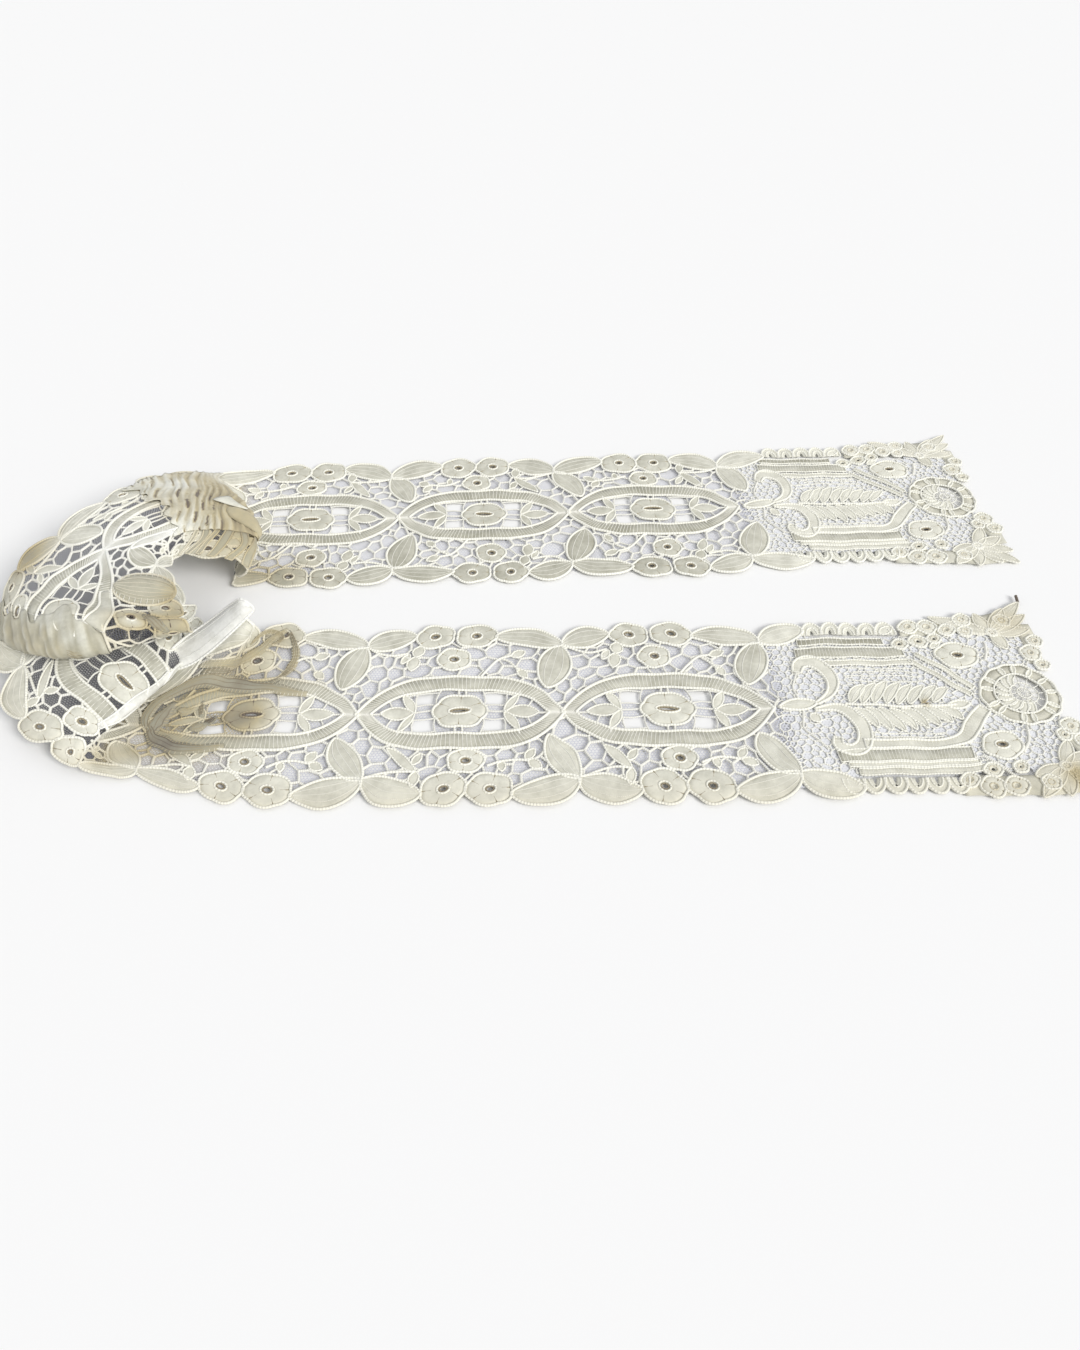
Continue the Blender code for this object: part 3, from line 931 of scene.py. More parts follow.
def turn_details(work):
    """What only the turn has: pleats, a domed leaf, a bright folded edge with painted highlight and loose
    scraps of braid.
    """
    for row in PLEATS:
        pleated(work, **dict(zip(PLEAT_COLUMNS, row)))
    dome = {"fullness": 0.45, "tone": 0.25, "level": 1.7, "soil": 0.45, "ribs": 1.9}
    leaf(work, (590.5, 53.0), (592.0, 20.0), 22.0, 1.5, DOME_VEINS, 2.2, GIMP, **dome)
    fold = curve(((561.0, 17.0), (569.0, 20.5), (578.0, 20.0), (588.0, 17.0)))
    ribbon(work, fold, np.linspace(4.6, 3.0, len(fold)), 0.8, 7, GIMP, level=1.5, soil=-0.2)
    edge = curve(((461.5, -24.0), (460.5, -12.0), (460.0, 0.0), (459.5, 12.0), (459.0, 22.0)))
    reach = tapered(edge, (0.0, 0.5, 1.0), (1.3, 2.1, 2.6))
    # the folded edge and its leaf are bleached bright: painted highlight on the lit fold
    bright = {"level": 1.5, "soil": -0.9}
    ribbon(work, edge, reach, 0.5, 5, FINE_CORD, tone=0.05, ribs=1.5, **bright)
    leaf(work, (459.0, 17.0), (449.0, 46.0), 10.0, 0.0, rise=0.7, tone=0.0, ribs=1.7, **bright)
    # the standing leaf is bleached white: painted highlight on a leaf that faces away from the key light
    standing = {"level": 1.6, "tilt": 7.0, "soil": -1.0, "tone": -0.1}
    leaf(work, (437.0, 34.0), (407.0, 57.5), 17.0, -2.0, rise=1.2, **standing)
    flap = curve(((679.5, -3.5), (681.5, 0.0), (684.5, 4.0), (688.0, 8.0)))
    ribbon(work, flap, np.linspace(4.8, 0.5, len(flap)), 0.6, 5, 0.0, level=3.6, soil=-1.25, tone=-0.05)
    puff = {"fullness": 0.5, "level": 2.8, "soil": -0.35, "tone": 0.1}
    leaf(work, (682.0, 7.0), (691.0, 27.0), 10.0, 0.0, (), 2.0, 0.0, **puff)
    leaf(work, (620.0, 16.0), (650.0, 24.0), 7.0, 1.0, (), 1.0, GIMP, level=1.5, soil=-0.5)
    for path, reach, tone, soil in SCRAPS:
        path = curve(path)
        share = np.linspace(0.0, np.pi, len(path))
        half = reach * (0.35 + 0.65 * np.sin(share)) * (1.0 + 0.12 * np.sin(7.0 * share))
        looks = {"ribs": 1.9, "tone": tone, "level": 1.6, "soil": soil}
        ribbon(work, path, half, 0.7, 5, 0.0, (-0.6, -0.1, 0.5), **looks)
    for k in range(6):
        top, foot = 665.0 + 5.0 * k, 661.0 + 5.8 * k
        strand = curve(((top, 29.0), (0.5 * (top + foot) + 1.2 * math.sin(2.0 * k), 40.0), (foot, 53.0)))
        reach = 1.0 + 0.5 * math.sin(1.7 * k) ** 2
        ribbon(work, strand, reach, 0.6, 5, FINE_CORD, level=1.7, tone=0.45, soil=0.3)


# ---------------------------------------------------------------- bars and net between the motifs


def inside(points, shape):
    """Which points lie inside a closed outline."""
    x, y = points[:, 0][:, None], points[:, 1][:, None]
    x0, y0 = shape[:, 0], shape[:, 1]
    x1, y1 = np.roll(x0, -1), np.roll(y0, -1)
    rise = np.where(y1 == y0, 1e-9, y1 - y0)
    crossed = ((y0 > y) != (y1 > y)) & (x < (x1 - x0) * (y - y0) / rise + x0)
    return crossed.sum(axis=1) % 2 == 1


def covered(points, shapes):
    """Which points lie under any of the shapes."""
    found = np.zeros(len(points), dtype=bool)
    order = np.argsort(points[:, 0])
    sorted_along = points[order, 0]
    for shape in shapes:
        low, high = shape.min(axis=0), shape.max(axis=0)
        part = order[np.searchsorted(sorted_along, low[0]) : np.searchsorted(sorted_along, high[0])]
        part = part[(points[part, 1] > low[1]) & (points[part, 1] < high[1]) & ~found[part]]
        if len(part):
            found[part] = inside(points[part], shape)
    return found


def bar_limits(along):
    """The outermost and innermost places across that bars may reach."""
    past = past_crossing(along)
    low = np.where(past > 26.0, -39.0, -44.0)
    high = np.where(past > 26.0, 44.0, 47.0)
    return np.where(past > 108.0, -41.0, low), high


GROUNDS = (
    # start, stop, spacing, half thread: the bars of the legs and the turn, and the close ones of the ends
    (FIRST_CROSSING - 6.0, LAST_CROSSING + 6.0, 8.2, 0.6),
    (2.0, FIRST_CROSSING - 2.0, 3.7, 0.32),
    (LAST_CROSSING + 2.0, LENGTH - 2.0, 3.7, 0.32),
)
# How far into an end panel the bars and the net reach, in mm.
LAST_BAR = 131.0


def bar_cells(rng, start, stop, spacing):
    """Middles of an uneven net of cells, as places along and across, and the pairs that bars join."""
    seeds = []
    for row in range(int(124.0 / (spacing * 0.87))):
        across = -62.0 + row * spacing * 0.87
        for k in range(int((stop - start + 20.0) / spacing)):
            seeds.append((start - 10.0 + (k + 0.5 * (row % 2)) * spacing, across))
    seeds = np.array(seeds) + rng.uniform(-0.42, 0.42, (len(seeds), 2)) * spacing
    flat = geometry.delaunay_2d_cdt([tuple(s) for s in seeds], [], [], 0, 1e-4)
    corners = np.array([tuple(v) for v in flat[0]])
    middles = np.array([corners[list(face)].mean(axis=0) for face in flat[2]])
    sharing = {}
    for index, face in enumerate(flat[2]):
        for a, b in zip(face, face[1:] + face[:1]):
            sharing.setdefault((min(a, b), max(a, b)), []).append(index)
    pairs = np.array([pair for pair in sharing.values() if len(pair) == 2])
    return middles, pairs


def joining_bars(work):
    """Bars in an uneven net between the motifs, each trimmed where it runs under one."""
    rng = np.random.default_rng(41)
    share = np.linspace(0.0, 1.0, 9)
    for start, stop, spacing, half in GROUNDS:
        middles, pairs = bar_cells(rng, start, stop, spacing)
        starts, ends = middles[pairs[:, 0]], middles[pairs[:, 1]]
        samples = starts[:, None] + (ends - starts)[:, None] * share[None, :, None]
        flat = samples.reshape(-1, 2)
        low, high = bar_limits(flat[:, 0])
        beyond = (flat[:, 1] < low) | (flat[:, 1] > high) | (past_crossing(flat[:, 0]) > LAST_BAR)
        beyond |= (flat[:, 0] < start) | (flat[:, 0] > stop)
        open_air = (~covered(flat, work.shapes + work.unbarred) & ~beyond).reshape(-1, len(share))
        outside = beyond.reshape(-1, len(share)).any(axis=1)
        weights = half * (0.75 + 0.5 * np.abs(np.sin(2.3 * np.arange(len(samples)))))
        for k in np.nonzero((open_air.sum(axis=1) >= 2) & ~outside)[0]:
            shown = np.nonzero(open_air[k])[0]
            first, last = max(shown[0] - 1, 0), min(shown[-1] + 1, len(share) - 1)
            work.thread("bar", samples[k][[first, (first + last) // 2, last]], weights[k], BAR_LEVEL)


NET_STRETCHES = (
    # start, stop, pitch
    (1.0, 428.0, 1.55),
    # closer net in the turn, to deepen its painted shade
    (428.0, 716.0, 1.3),
    (716.0, LENGTH - 1.0, 1.55),
)
# The net's half thread width on the legs, in the turn and in the end panels.
NET_THREAD = 0.11
CLOSE_NET_THREAD = 0.21
END_NET_THREAD = 0.6


def in_turn(along):
    """1 inside the turn, 0 on the legs."""
    return ramp(along, 424.0, 438.0) * (1.0 - ramp(along, 710.0, 722.0))


def in_end(along):
    """1 in the end panels, 0 between the outer crossings."""
    return ramp(past_crossing(along), 0.0, 10.0)


def net_ground(work):
    """A fine six-sided net behind the bars, left out where it runs under a motif."""
    lines = []
    for start, stop, pitch in NET_STRETCHES:
        rise = pitch * 0.87
        for row, across in enumerate(np.arange(-46.0, 48.0, rise)):
            along = np.arange(start, stop, pitch) + 0.5 * (row % 2) * pitch
            foot = np.stack([along, np.full(len(along), across)], axis=1)
            fork = foot + (0.0, 0.58 * pitch)
            lines.append(np.stack([foot, fork], axis=1))
            for way in (0.5, -0.5):
                lines.append(np.stack([fork, foot + (way * pitch, rise)], axis=1))
    lines = np.vstack(lines)
    middles = lines.mean(axis=1)
    low, high = bar_limits(middles[:, 0])
    wanted = (middles[:, 1] > low) & (middles[:, 1] < high) & (past_crossing(middles[:, 0]) < LAST_BAR)
    lines, middles = lines[wanted], middles[wanted]
    work.net = lines[~covered(middles, work.shapes + open_gaps())]


def open_gaps():
    """The largest gaps of the medallions on the legs, four to a medallion, that have no net in them."""
    found = []
    for k in range(1, MEDALLIONS + 1):
        middle = FIRST_CROSSING + (k - 0.5) * MEDALLION
        if in_turn(np.array([middle]))[0] > 0.0:
            continue
        for way in (1.0, -1.0):
            for up in (1.0, -1.0):
                found.append(GAP * (way, up) + (middle, 0.0))
    return found


def net_tint_and_shade(points):
    """The net's colour: whiter in the end panels, dark in the turn as painted shade of its folds, and brown
    over the stain, partly painted shade under the fold.
    """
    along, across = points[:, 0], points[:, 1]
    stain_and_shade = 1.5 * bell(along, 400.0, 26.0) * bell(across, 4.0, 34.0)
    return np.maximum(2.0 * in_turn(along), stain_and_shade) - in_end(along)


def net_thread(points):
    """The net's half thread width: finest on the legs, closer in the turn and over the stain, where it
    carries painted shade, and in the end panels.
    """
    along = points[:, 0]
    close = np.maximum(in_turn(along), bell(along, 400.0, 24.0))
    closer = (CLOSE_NET_THREAD - NET_THREAD) * close
    return NET_THREAD + closer + (END_NET_THREAD - NET_THREAD) * in_end(along)


# A loose end of dark thread at the near end.
LOOSE_END = ((0.6, 62.0), (0.2, 66.5))


def whole_band():
    """The whole band worked flat, in its own along and across."""
    band = Work()
    leaves, repeat, panel = Work(), repeat_work(), panel_work()
    crossing_leaves(leaves)
    for k in range(MEDALLIONS + 1):
        band.add(leaves, FIRST_CROSSING + k * MEDALLION, -1.0)
    for k in range(1, MEDALLIONS + 1):
        band.add(repeat, FIRST_CROSSING + k * MEDALLION, -1.0)
    band.add(panel, FIRST_CROSSING, -1.0)
    band.add(panel, LAST_CROSSING, 1.0, -1.0)
    turn_details(band)
    band.thread("gimp", LOOSE_END, 0.8, CORD_LEVEL, soil=2.4)
    joining_bars(band)
    net_ground(band)
    return band


# ---------------------------------------------------------------- meshes


# Units of the clothwork's UV map for each mm of the flat lace.
GRAIN_SCALE = 0.1


def new_object(name, mesh):
    piece = bpy.data.objects.new(name, mesh)
    bpy.context.scene.collection.objects.link(piece)
    return piece


def store(mesh, name, values):
    """Gives each point of a mesh a number under a name."""
    attribute = mesh.attributes.new(name, "FLOAT", "POINT")
    attribute.data.foreach_set("value", np.asarray(values, dtype=np.float32))


def quad_corners(near, far):
    """The four corners of every quad of a grid, from the grid and the same grid one column on."""
    return np.stack([near[:-1], far[:-1], far[1:], near[1:]], axis=2)


def cloth_mesh(work):
    """All clothwork as one mesh, with a UV map along and across each strip."""
    flat, heights, faces, grains, tones, soils = [], [], [], [], [], []
    offset = 0
    for points, levels, grain, tone, closed, soil in work.patches:
        rows, columns = points.shape[:2]
        wide = columns if closed else columns - 1
        index = np.arange(rows * columns).reshape(rows, columns) + offset
        following = np.roll(index, -1, axis=1)
        quads = quad_corners(index[:, :wide], following[:, :wide])
        uv = quad_corners(grain[:, :wide], grain[:, 1 : wide + 1])
        flat.append(points.reshape(-1, 2))
        heights.append(np.broadcast_to(levels, (rows, columns)).ravel())
        faces.append(quads.reshape(-1, 4))
        grains.append(uv.reshape(-1, 4, 2))
        tones.append(np.broadcast_to(tone, (rows, columns)).ravel())
        soils.append(np.broadcast_to(soil, (rows, columns)).ravel())
        offset += rows * columns
    flat, heights = np.vstack(flat), np.concatenate(heights)
    faces, grains = np.vstack(faces), np.vstack(grains)
    first, second, third = (flat[faces[:, k]] for k in (0, 1, 3))
    a, b = second - first, third - first
    turned = a[:, 0] * b[:, 1] - a[:, 1] * b[:, 0] > 0.0
    faces[turned] = faces[turned][:, ::-1]
    grains[turned] = grains[turned][:, ::-1]
    mesh = bpy.data.meshes.new("clothwork")
    mesh.from_pydata(laid(flat, heights).tolist(), [], faces.tolist())
    grain = (grains * GRAIN_SCALE).astype(np.float32)
    mesh.uv_layers.new(name="grain").data.foreach_set("uv", grain.ravel())
    store(mesh, "age_and_shade", age_and_shade(flat) + np.concatenate(soils))
    store(mesh, "tone", np.concatenate(tones) + greyness(flat))
    mesh.shade_smooth()
    return mesh


def thread_mesh(work, kinds):
    """Threads of some kinds as a mesh of edges, each point with its thickness, its run and its age."""
    flat, heights, edges, radii, runs, soils = [], [], [], [], [], []
    offset = 0
    for kind, points, levels, radius, closed, soil in work.threads:
        if kind not in kinds:
            continue
        count = len(points)
        index = np.arange(count) + offset
        edges.append(np.stack([index[:-1], index[1:]], axis=1))
        if closed:
            edges.append(np.array([[index[-1], index[0]]]))
        flat.append(points)
        heights.append(levels)
        radii.append(np.full(count, radius))
        runs.append(lengths(points))
        soils.append(np.full(count, soil))
        offset += count
    flat = np.vstack(flat)
    mesh = bpy.data.meshes.new("threads")
    mesh.from_pydata(laid(flat, np.concatenate(heights)).tolist(), np.vstack(edges).tolist(), [])
    store(mesh, "thickness", np.concatenate(radii) * MM)
    store(mesh, "run", np.concatenate(runs))
    store(mesh, "age_and_shade", age_and_shade(flat) + np.concatenate(soils))
    return mesh


def net_mesh(work):
    """The net's threads as a mesh of edges."""
    flat = work.net.reshape(-1, 2)
    mesh = bpy.data.meshes.new("net")
    edges = np.arange(len(flat)).reshape(-1, 2)
    mesh.from_pydata(laid(flat, np.full(len(flat), NET_LEVEL)).tolist(), edges.tolist(), [])
    store(mesh, "thickness", net_thread(flat) * MM)
    store(mesh, "run", np.zeros(len(flat)))
    store(mesh, "age_and_shade", net_tint_and_shade(flat))
    return mesh


def add_node(nodes, kind, values=(), **settings):
    """A new node with some of its settings and input values given."""
    node = nodes.new(kind)
    for name, value in settings.items():
        setattr(node, name, value)
    for name, value in dict(values).items():
        node.inputs[name].default_value = value
    return node


def thread_tree(material, flat):
    """A node tree that turns a mesh of edges into round threads, or flat ones."""
    tree = bpy.data.node_groups.new("Flat threads" if flat else "Round threads", "GeometryNodeTree")
    sockets = tree.interface
    sockets.new_socket("Geometry", in_out="INPUT", socket_type="NodeSocketGeometry")
    sockets.new_socket("Sides", in_out="INPUT", socket_type="NodeSocketInt").default_value = 5
    sockets.new_socket("Weight", in_out="INPUT", socket_type="NodeSocketFloat").default_value = 1.0
    sockets.new_socket("Geometry", in_out="OUTPUT", socket_type="NodeSocketGeometry")
    nodes, link = tree.nodes, tree.links.new
    start, end = nodes.new("NodeGroupInput"), nodes.new("NodeGroupOutput")
    to_curve = nodes.new("GeometryNodeMeshToCurve")
    thickness = add_node(nodes, "GeometryNodeInputNamedAttribute", {"Name": "thickness"}, data_type="FLOAT")
    scaled = add_node(nodes, "ShaderNodeMath", operation="MULTIPLY")
    if flat:
        width = {"Start": (-1.0, 0.0, 0.0), "End": (1.0, 0.0, 0.0)}
        profile = add_node(nodes, "GeometryNodeCurvePrimitiveLine", width)
    else:
        profile = add_node(nodes, "GeometryNodeCurvePrimitiveCircle", {"Radius": 1.0})
        link(start.outputs["Sides"], profile.inputs["Resolution"])
    upright = add_node(nodes, "GeometryNodeSetCurveNormal", mode="Z_UP" if flat else "MINIMUM_TWIST")
    sweep = add_node(nodes, "GeometryNodeCurveToMesh", {"Fill Caps": True})
    smooth = nodes.new("GeometryNodeSetShadeSmooth")
    realize = nodes.new("GeometryNodeRealizeInstances")
    finish = add_node(nodes, "GeometryNodeSetMaterial", {"Material": material})
    for first, out, second, into in (
        (start, "Geometry", to_curve, "Mesh"),
        (thickness, "Attribute", scaled, 0),
        (start, "Weight", scaled, 1),
        (to_curve, "Curve", upright, "Curve"),
        (upright, "Curve", sweep, "Curve"),
        (profile, "Curve", sweep, "Profile Curve"),
        (scaled, 0, sweep, "Scale"),
        (sweep, "Mesh", smooth, "Geometry"),
        (smooth, "Geometry", realize, "Geometry"),
        (realize, "Geometry", finish, "Geometry"),
        (finish, "Geometry", end, "Geometry"),
    ):
        link(first.outputs[out], second.inputs[into])
    return tree


def socket_id(tree, name):
    for item in tree.interface.items_tree:
        if item.item_type == "SOCKET" and item.in_out == "INPUT" and item.name == name:
            return item.identifier
    raise RuntimeError("the node tree has no input named " + name)


def threads(name, mesh, material, sides, weight, flat=False):
    """A finished piece of threads that follow a mesh's edges."""
    source = new_object(name + "_paths", mesh)
    tree = thread_tree(material, flat)
    maker = source.modifiers.new("threads", "NODES")
    maker.node_group = tree
    maker[socket_id(tree, "Sides")] = sides
    maker[socket_id(tree, "Weight")] = weight
    evaluated = source.evaluated_get(bpy.context.evaluated_depsgraph_get())
    made = bpy.data.meshes.new_from_object(evaluated)
    source.modifiers.remove(maker)
    bpy.data.objects.remove(source)
    if not made.polygons:
        raise RuntimeError(name + " came out empty")
    return new_object(name, made)


# ---------------------------------------------------------------- materials


# How far the grain of the clothwork and the ridges of twisted thread stand out, in metres.
CLOTH_GRAIN = 0.00006
CORD_GRAIN = 0.0002
# How far apart those ridges are along the outline cords, and along the bars and net, in mm.
CORD_TWIST = 1.4
BAR_TWIST = 0.9


def plain_material(name, values):
    """A material with some of its shader's values given; also its shader, its nodes and its linker."""
    material = bpy.data.materials.new(name)
    material.use_nodes = True
    nodes = material.node_tree.nodes
    shader = nodes["Principled BSDF"]
    for key, value in values.items():
        shader.inputs[key].default_value = value
    return material, shader, nodes, material.node_tree.links.new


def mottling(nodes, link, noise, limits):
    """Noise over the piece's own coordinates, spread between two levels."""
    place = nodes.new("ShaderNodeTexCoord")
    texture = add_node(nodes, "ShaderNodeTexNoise", noise)
    link(place.outputs["Object"], texture.inputs["Vector"])
    spread = add_node(nodes, "ShaderNodeMapRange", limits)
    link(texture.outputs["Fac"], spread.inputs["Value"])
    return spread.outputs["Result"]


def raise_grain(nodes, link, height, distance):
    """Raises the shader's surface by a height, up to a distance in metres."""
    bump = add_node(nodes, "ShaderNodeBump", {"Strength": 0.5, "Distance": distance})
    link(height, bump.inputs["Height"])
    link(bump.outputs["Normal"], nodes["Principled BSDF"].inputs["Normal"])


def aged_and_shade_colour(nodes, link, stages, variation):
    """Thread colour by the age and shade attribute: bleached, fresh, brown and soiled in turn, the ends also
    serving as painted highlight and painted shade, with soft blotches.
    """
    age_and_shade_level = add_node(nodes, "ShaderNodeAttribute", attribute_name="age_and_shade")
    scaled = add_node(nodes, "ShaderNodeMapRange", {"From Min": -1.0, "From Max": 2.0})
    link(age_and_shade_level.outputs["Fac"], scaled.inputs["Value"])
    mix = nodes.new("ShaderNodeValToRGB")
    stops = mix.color_ramp.elements
    for place in (1.0 / 3.0, 2.0 / 3.0):
        stops.new(place)
    for stop, stage in zip(stops, stages):
        stop.color = (*stage, 1.0)
    link(scaled.outputs["Result"], mix.inputs["Fac"])
    limits = {"From Min": 0.25, "From Max": 0.75, "To Min": 1.0 - variation, "To Max": 1.0 + variation}
    blotches = mottling(nodes, link, {"Scale": 160.0, "Detail": 5.0, "Roughness": 0.6}, limits)
    tinted = add_node(nodes, "ShaderNodeVectorMath", operation="SCALE")
    link(mix.outputs["Color"], tinted.inputs[0])
    link(blotches, tinted.inputs["Scale"])
    return tinted.outputs["Vector"]


def toned(nodes, link, light, dark):
    """The light colour, moved towards a dark one by the tone attribute and by uneven wear."""
    tone = add_node(nodes, "ShaderNodeAttribute", attribute_name="tone")
    limits = {"From Min": 0.38, "From Max": 0.72, "To Min": -0.04, "To Max": 0.5}
    worn = mottling(nodes, link, {"Scale": 110.0, "Detail": 6.0, "Roughness": 0.68}, limits)
    total = add_node(nodes, "ShaderNodeMath", operation="ADD")
    link(tone.outputs["Fac"], total.inputs[0])
    link(worn, total.inputs[1])
    mix = add_node(nodes, "ShaderNodeMix", {7: (*dark, 1.0)}, data_type="RGBA", clamp_factor=True)
    link(total.outputs[0], mix.inputs[0])
    link(light, mix.inputs[6])
    return mix.outputs[2]


def stages_of(look, fresh):
    """The colours that thread goes through as it ages, from a fresh colour; the palest and darkest also
    serve as painted highlight and painted shade.
    """
    return (look.bleached_and_highlight_colour, fresh, look.aged_and_shade_colour, look.soiled_colour)


def cloth_material(look):
    """Linen-stitch clothwork: fine threads along and across each strip."""
    values = {"Roughness": 0.92, "Sheen Weight": 0.15}
    material, shader, nodes, link = plain_material("lace_clothwork", values)
    woven = aged_and_shade_colour(nodes, link, stages_of(look, look.cloth_colour), 0.1)
    link(toned(nodes, link, woven, look.shade_colour), shader.inputs["Base Color"])
    grain = add_node(nodes, "ShaderNodeUVMap", uv_map="grain")
    weave = add_node(nodes, "ShaderNodeMath", operation="ADD")
    for k, (direction, scale) in enumerate((("X", 14.0), ("Y", 20.0))):
        bands = {"Scale": scale, "Distortion": 1.2, "Detail": 1.0}
        wave = add_node(nodes, "ShaderNodeTexWave", bands, wave_type="BANDS", bands_direction=direction)
        link(grain.outputs["UV"], wave.inputs["Vector"])
        link(wave.outputs["Fac"], weave.inputs[k])
    raise_grain(nodes, link, weave.outputs[0], CLOTH_GRAIN)
    return material


def cord_material(name, stages, twist):
    """Twisted thread: ridges round the cord, a twist apart along its run."""
    material, shader, nodes, link = plain_material(name, {"Roughness": 0.85, "Sheen Weight": 0.15})
    link(aged_and_shade_colour(nodes, link, stages, 0.05), shader.inputs["Base Color"])
    run = add_node(nodes, "ShaderNodeAttribute", attribute_name="run")
    turns = add_node(nodes, "ShaderNodeMath", {1: 2 * math.pi / twist}, operation="MULTIPLY")
    link(run.outputs["Fac"], turns.inputs[0])
    ridge = add_node(nodes, "ShaderNodeMath", operation="SINE")
    link(turns.outputs[0], ridge.inputs[0])
    raise_grain(nodes, link, ridge.outputs[0], CORD_GRAIN)
    return material


def floor_material(look):
    values = {"Base Color": (*look.floor_colour, 1.0), "Roughness": 0.95, "Specular IOR Level": 0.1}
    return plain_material("pale_surface", values)[0]


# ---------------------------------------------------------------- settings, operators and panel


def colour(name, description, default):
    return bpy.props.FloatVectorProperty(
        name=name, description=description, default=default, subtype="COLOR", min=0.0, max=1.0
    )


class LaceLook(bpy.types.PropertyGroup):
    cloth_colour: colour("Clothwork", "Colour of the woven leaves, petals and tapes", (0.82, 0.81, 0.71))
    # the close clothwork colour also gives painted shade in the pleats' valleys and in the turn
    shade_colour: colour("Close clothwork", "Colour of the closest, greyest tapes", (0.38, 0.37, 0.29))
    cord_colour: colour("Cords", "Colour of the raised outline cords", (0.92, 0.91, 0.82))
    bar_colour: colour("Bars", "Colour of the joining bars", (0.88, 0.87, 0.80))
    net_colour: colour("Net", "Colour of the fine net ground", (0.58, 0.59, 0.68))
    white_net_colour: colour("White net", "Colour of the net in the end panels", (0.79, 0.80, 0.83))
    # the shaded net is painted shade: a dark net standing for the shaded folds and surface under the turn
    shaded_net_colour: colour("Shaded net", "Colour of the net over the turn's folds", (0.13, 0.13, 0.15))
    # the bleached, aged and soiled colours also paint highlight and shade where the age and shade attribute
    # carries it
    bleached_and_highlight_colour: colour("Bleached thread", "Colour of the whitest thread", (0.88, 0.88, 0.84))
    aged_and_shade_colour: colour("Aged thread", "Colour of thread that has gone brown", (0.55, 0.475, 0.295))
    soiled_colour: colour("Soiled thread", "Colour of the very darkest thread", (0.155, 0.12, 0.094))
    floor_colour: colour("Surface", "Colour of the surface that the lace lies on", (0.90, 0.90, 0.90))


class LaceSizes(bpy.types.PropertyGroup):
    cloth_thickness: bpy.props.FloatProperty(
        name="Clothwork thickness", description="Thickness of the woven parts", default=0.0003, unit="LENGTH"
    )
    cord_weight: bpy.props.FloatProperty(
        name="Cord weight", description="Thickness of the cords, as a share of the usual", default=1.0
    )
    bar_weight: bpy.props.FloatProperty(
        name="Bar weight", description="Thickness of the bars, as a share of the usual", default=1.0
    )


class LACE_OT_clothwork(bpy.types.Operator):
    """Make the woven leaves, flowers, tapes and petals"""

    bl_idname = "lace.clothwork"
    bl_label = "Clothwork"

    def execute(self, context):
        mesh = cloth_mesh(whole_band())
        mesh.materials.append(cloth_material(context.scene.lace_look))
        piece = new_object("lace_clothwork", mesh)
        body = piece.modifiers.new("thickness", "SOLIDIFY")
        body.thickness = context.scene.lace_sizes.cloth_thickness
        body.offset = 0.0
        return {"FINISHED"}


class LACE_OT_cords(bpy.types.Operator):
    """Make the raised outline cords and the stems"""

    bl_idname = "lace.cords"
    bl_label = "Raised cords"

    def execute(self, context):
        look = context.scene.lace_look
        material = cord_material("lace_cord", stages_of(look, look.cord_colour), CORD_TWIST)
        band, weight = whole_band(), context.scene.lace_sizes.cord_weight
        threads("lace_cords", thread_mesh(band, ("gimp",)), material, 6, weight)
        threads("lace_fine_cords", thread_mesh(band, ("fine gimp",)), material, 5, weight)
        return {"FINISHED"}


class LACE_OT_bars(bpy.types.Operator):
    """Make the joining bars, the fine ribs and the net"""

    bl_idname = "lace.bars"
    bl_label = "Bars and net"

    def execute(self, context):
        look = context.scene.lace_look
        weight = context.scene.lace_sizes.bar_weight
        material = cord_material("lace_bar", stages_of(look, look.bar_colour), BAR_TWIST)
        band = whole_band()
        threads("lace_bars", thread_mesh(band, ("bar",)), material, 5, weight)
        threads("lace_ribs", thread_mesh(band, ("rib",)), material, 4, weight)
        # the last stage is the dark net of painted shade over the turn
        shades = (look.white_net_colour, look.net_colour, look.aged_and_shade_colour, look.shaded_net_colour)
        haze = cord_material("lace_net", shades, BAR_TWIST)
        threads("lace_net", net_mesh(band), haze, 3, weight, flat=True)
        return {"FINISHED"}


class LACE_OT_stage(bpy.types.Operator):
    """Make the surface, the lights and the camera"""

    bl_idname = "lace.stage"
    bl_label = "Surface, lights and camera"

    def execute(self, context):
        make_floor(context.scene.lace_look)
        make_lights(context.scene)
        make_camera(context.scene)
        return {"FINISHED"}


# The floor's half width in metres; the key light's direction, strength, width in degrees and colour; the
# room's light; the camera's place in metres, its dip below level in degrees, its lens and sensor in mm.
FLOOR_REACH = 40.0
KEY_DIRECTION = (0.64, -0.52, 0.62)
KEY_STRENGTH = 2.2
KEY_WIDTH = 24.0
KEY_COLOUR = (1.0, 0.985, 0.96)
ROOM_COLOUR = (0.97, 0.98, 1.0, 1.0)
ROOM_STRENGTH = 0.655
CAMERA_PLACE = (0.0020, -0.3526, 0.3380)
CAMERA_DIP = 48.5
LENS = 25.33
SENSOR = 36.0


def make_floor(look):
    mesh = bpy.data.meshes.new("surface")
    quarters = ((-1, -1), (1, -1), (1, 1), (-1, 1))
    corners = [(x * FLOOR_REACH, y * FLOOR_REACH, 0.0) for x, y in quarters]
    mesh.from_pydata(corners, [], [(0, 1, 2, 3)])
    mesh.materials.append(floor_material(look))
    new_object("surface", mesh)


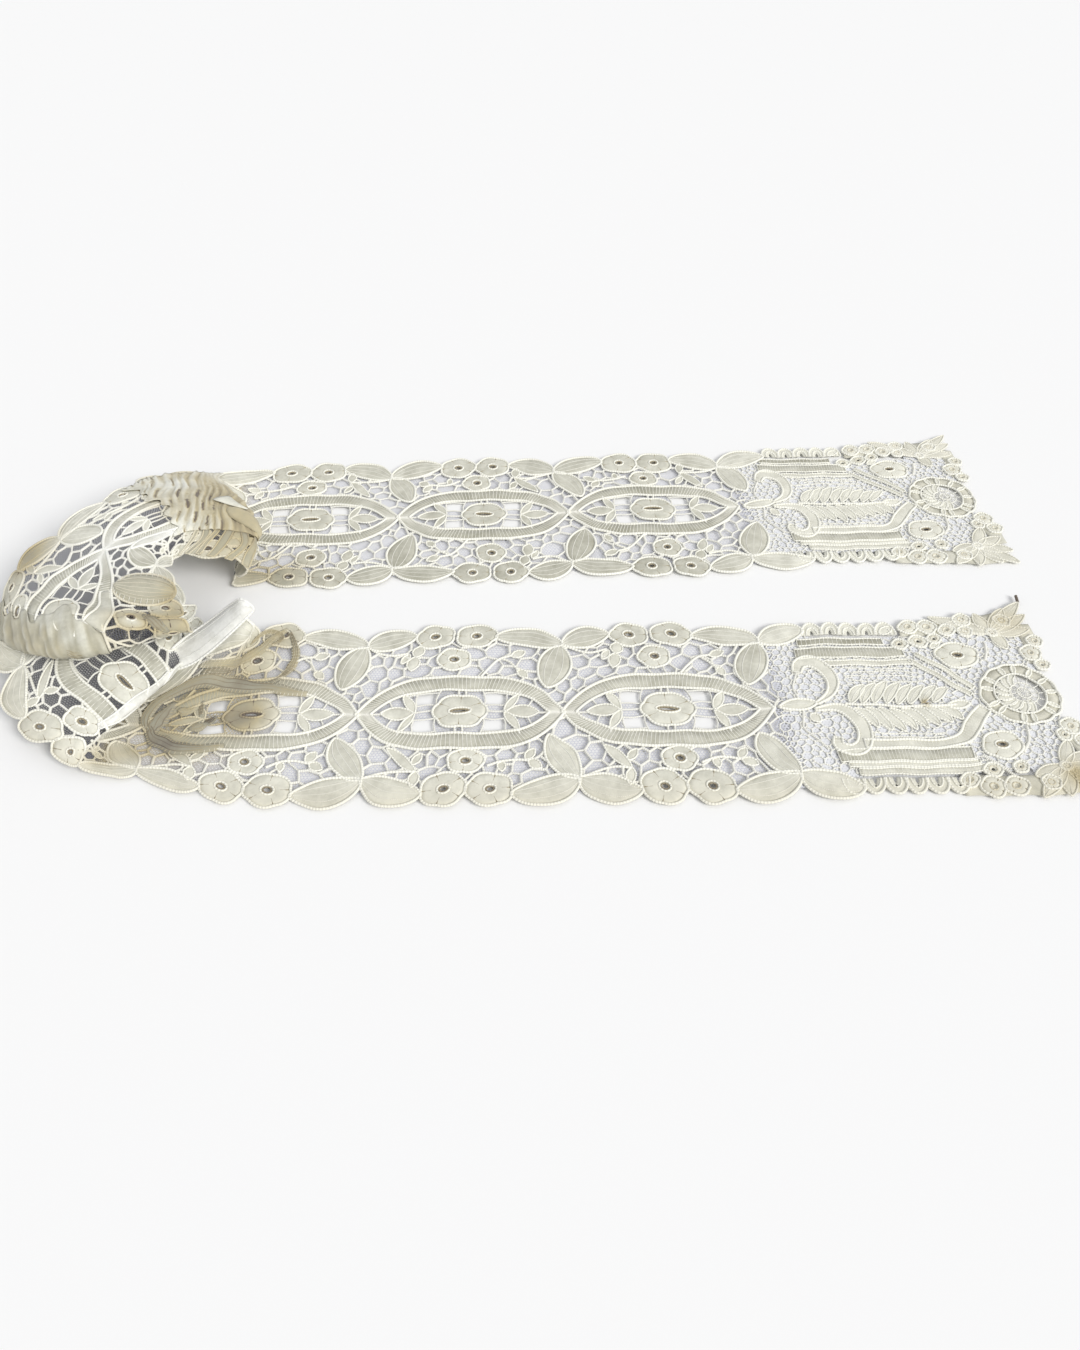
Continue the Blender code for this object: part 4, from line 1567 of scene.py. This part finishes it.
def make_lights(scene):
    data = bpy.data.lights.new("key", "SUN")
    data.energy = KEY_STRENGTH
    data.angle = math.radians(KEY_WIDTH)
    data.color = KEY_COLOUR
    lamp = new_object("key", data)
    lamp.rotation_euler = Vector(KEY_DIRECTION).to_track_quat("Z", "Y").to_euler()
    world = bpy.data.worlds.new("soft_room")
    world.use_nodes = True
    sky = world.node_tree.nodes["Background"]
    sky.inputs["Color"].default_value = ROOM_COLOUR
    sky.inputs["Strength"].default_value = ROOM_STRENGTH
    scene.world = world


def make_camera(scene):
    data = bpy.data.cameras.new("camera")
    data.sensor_fit = "VERTICAL"
    data.sensor_height = SENSOR
    data.lens = LENS
    camera = new_object("camera", data)
    camera.location = CAMERA_PLACE
    camera.rotation_euler = (math.radians(90.0 - CAMERA_DIP), 0.0, 0.0)
    scene.camera = camera
    scene.view_settings.view_transform = "Standard"


class LACE_PT_band(bpy.types.Panel):
    bl_idname = "LACE_PT_band"
    bl_label = "Bobbin lace band"
    bl_space_type = "VIEW_3D"
    bl_region_type = "UI"
    bl_category = "Lace"

    def draw(self, context):
        for group in (context.scene.lace_look, context.scene.lace_sizes):
            for name in group.__annotations__:
                self.layout.prop(group, name)
        for operator in OPERATORS:
            self.layout.operator(operator.bl_idname)


OPERATORS = (LACE_OT_clothwork, LACE_OT_cords, LACE_OT_bars, LACE_OT_stage)
CLASSES = (LaceLook, LaceSizes, *OPERATORS, LACE_PT_band)


def register():
    for item in CLASSES:
        bpy.utils.register_class(item)
    bpy.types.Scene.lace_look = bpy.props.PointerProperty(type=LaceLook)
    bpy.types.Scene.lace_sizes = bpy.props.PointerProperty(type=LaceSizes)


def unregister():
    del bpy.types.Scene.lace_sizes
    del bpy.types.Scene.lace_look
    for item in reversed(CLASSES):
        bpy.utils.unregister_class(item)


def main():
    register()
    bpy.ops.lace.clothwork()
    bpy.ops.lace.cords()
    bpy.ops.lace.bars()
    bpy.ops.lace.stage()
    cloth = bpy.data.objects["lace_clothwork"]
    names = ("lace_cords", "lace_fine_cords", "lace_bars", "lace_ribs", "lace_net")
    others = [bpy.data.objects[name] for name in names]
    for piece in [cloth] + others:
        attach(piece, "root")
    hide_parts(NODE)


if __name__ == "__main__":
    main()
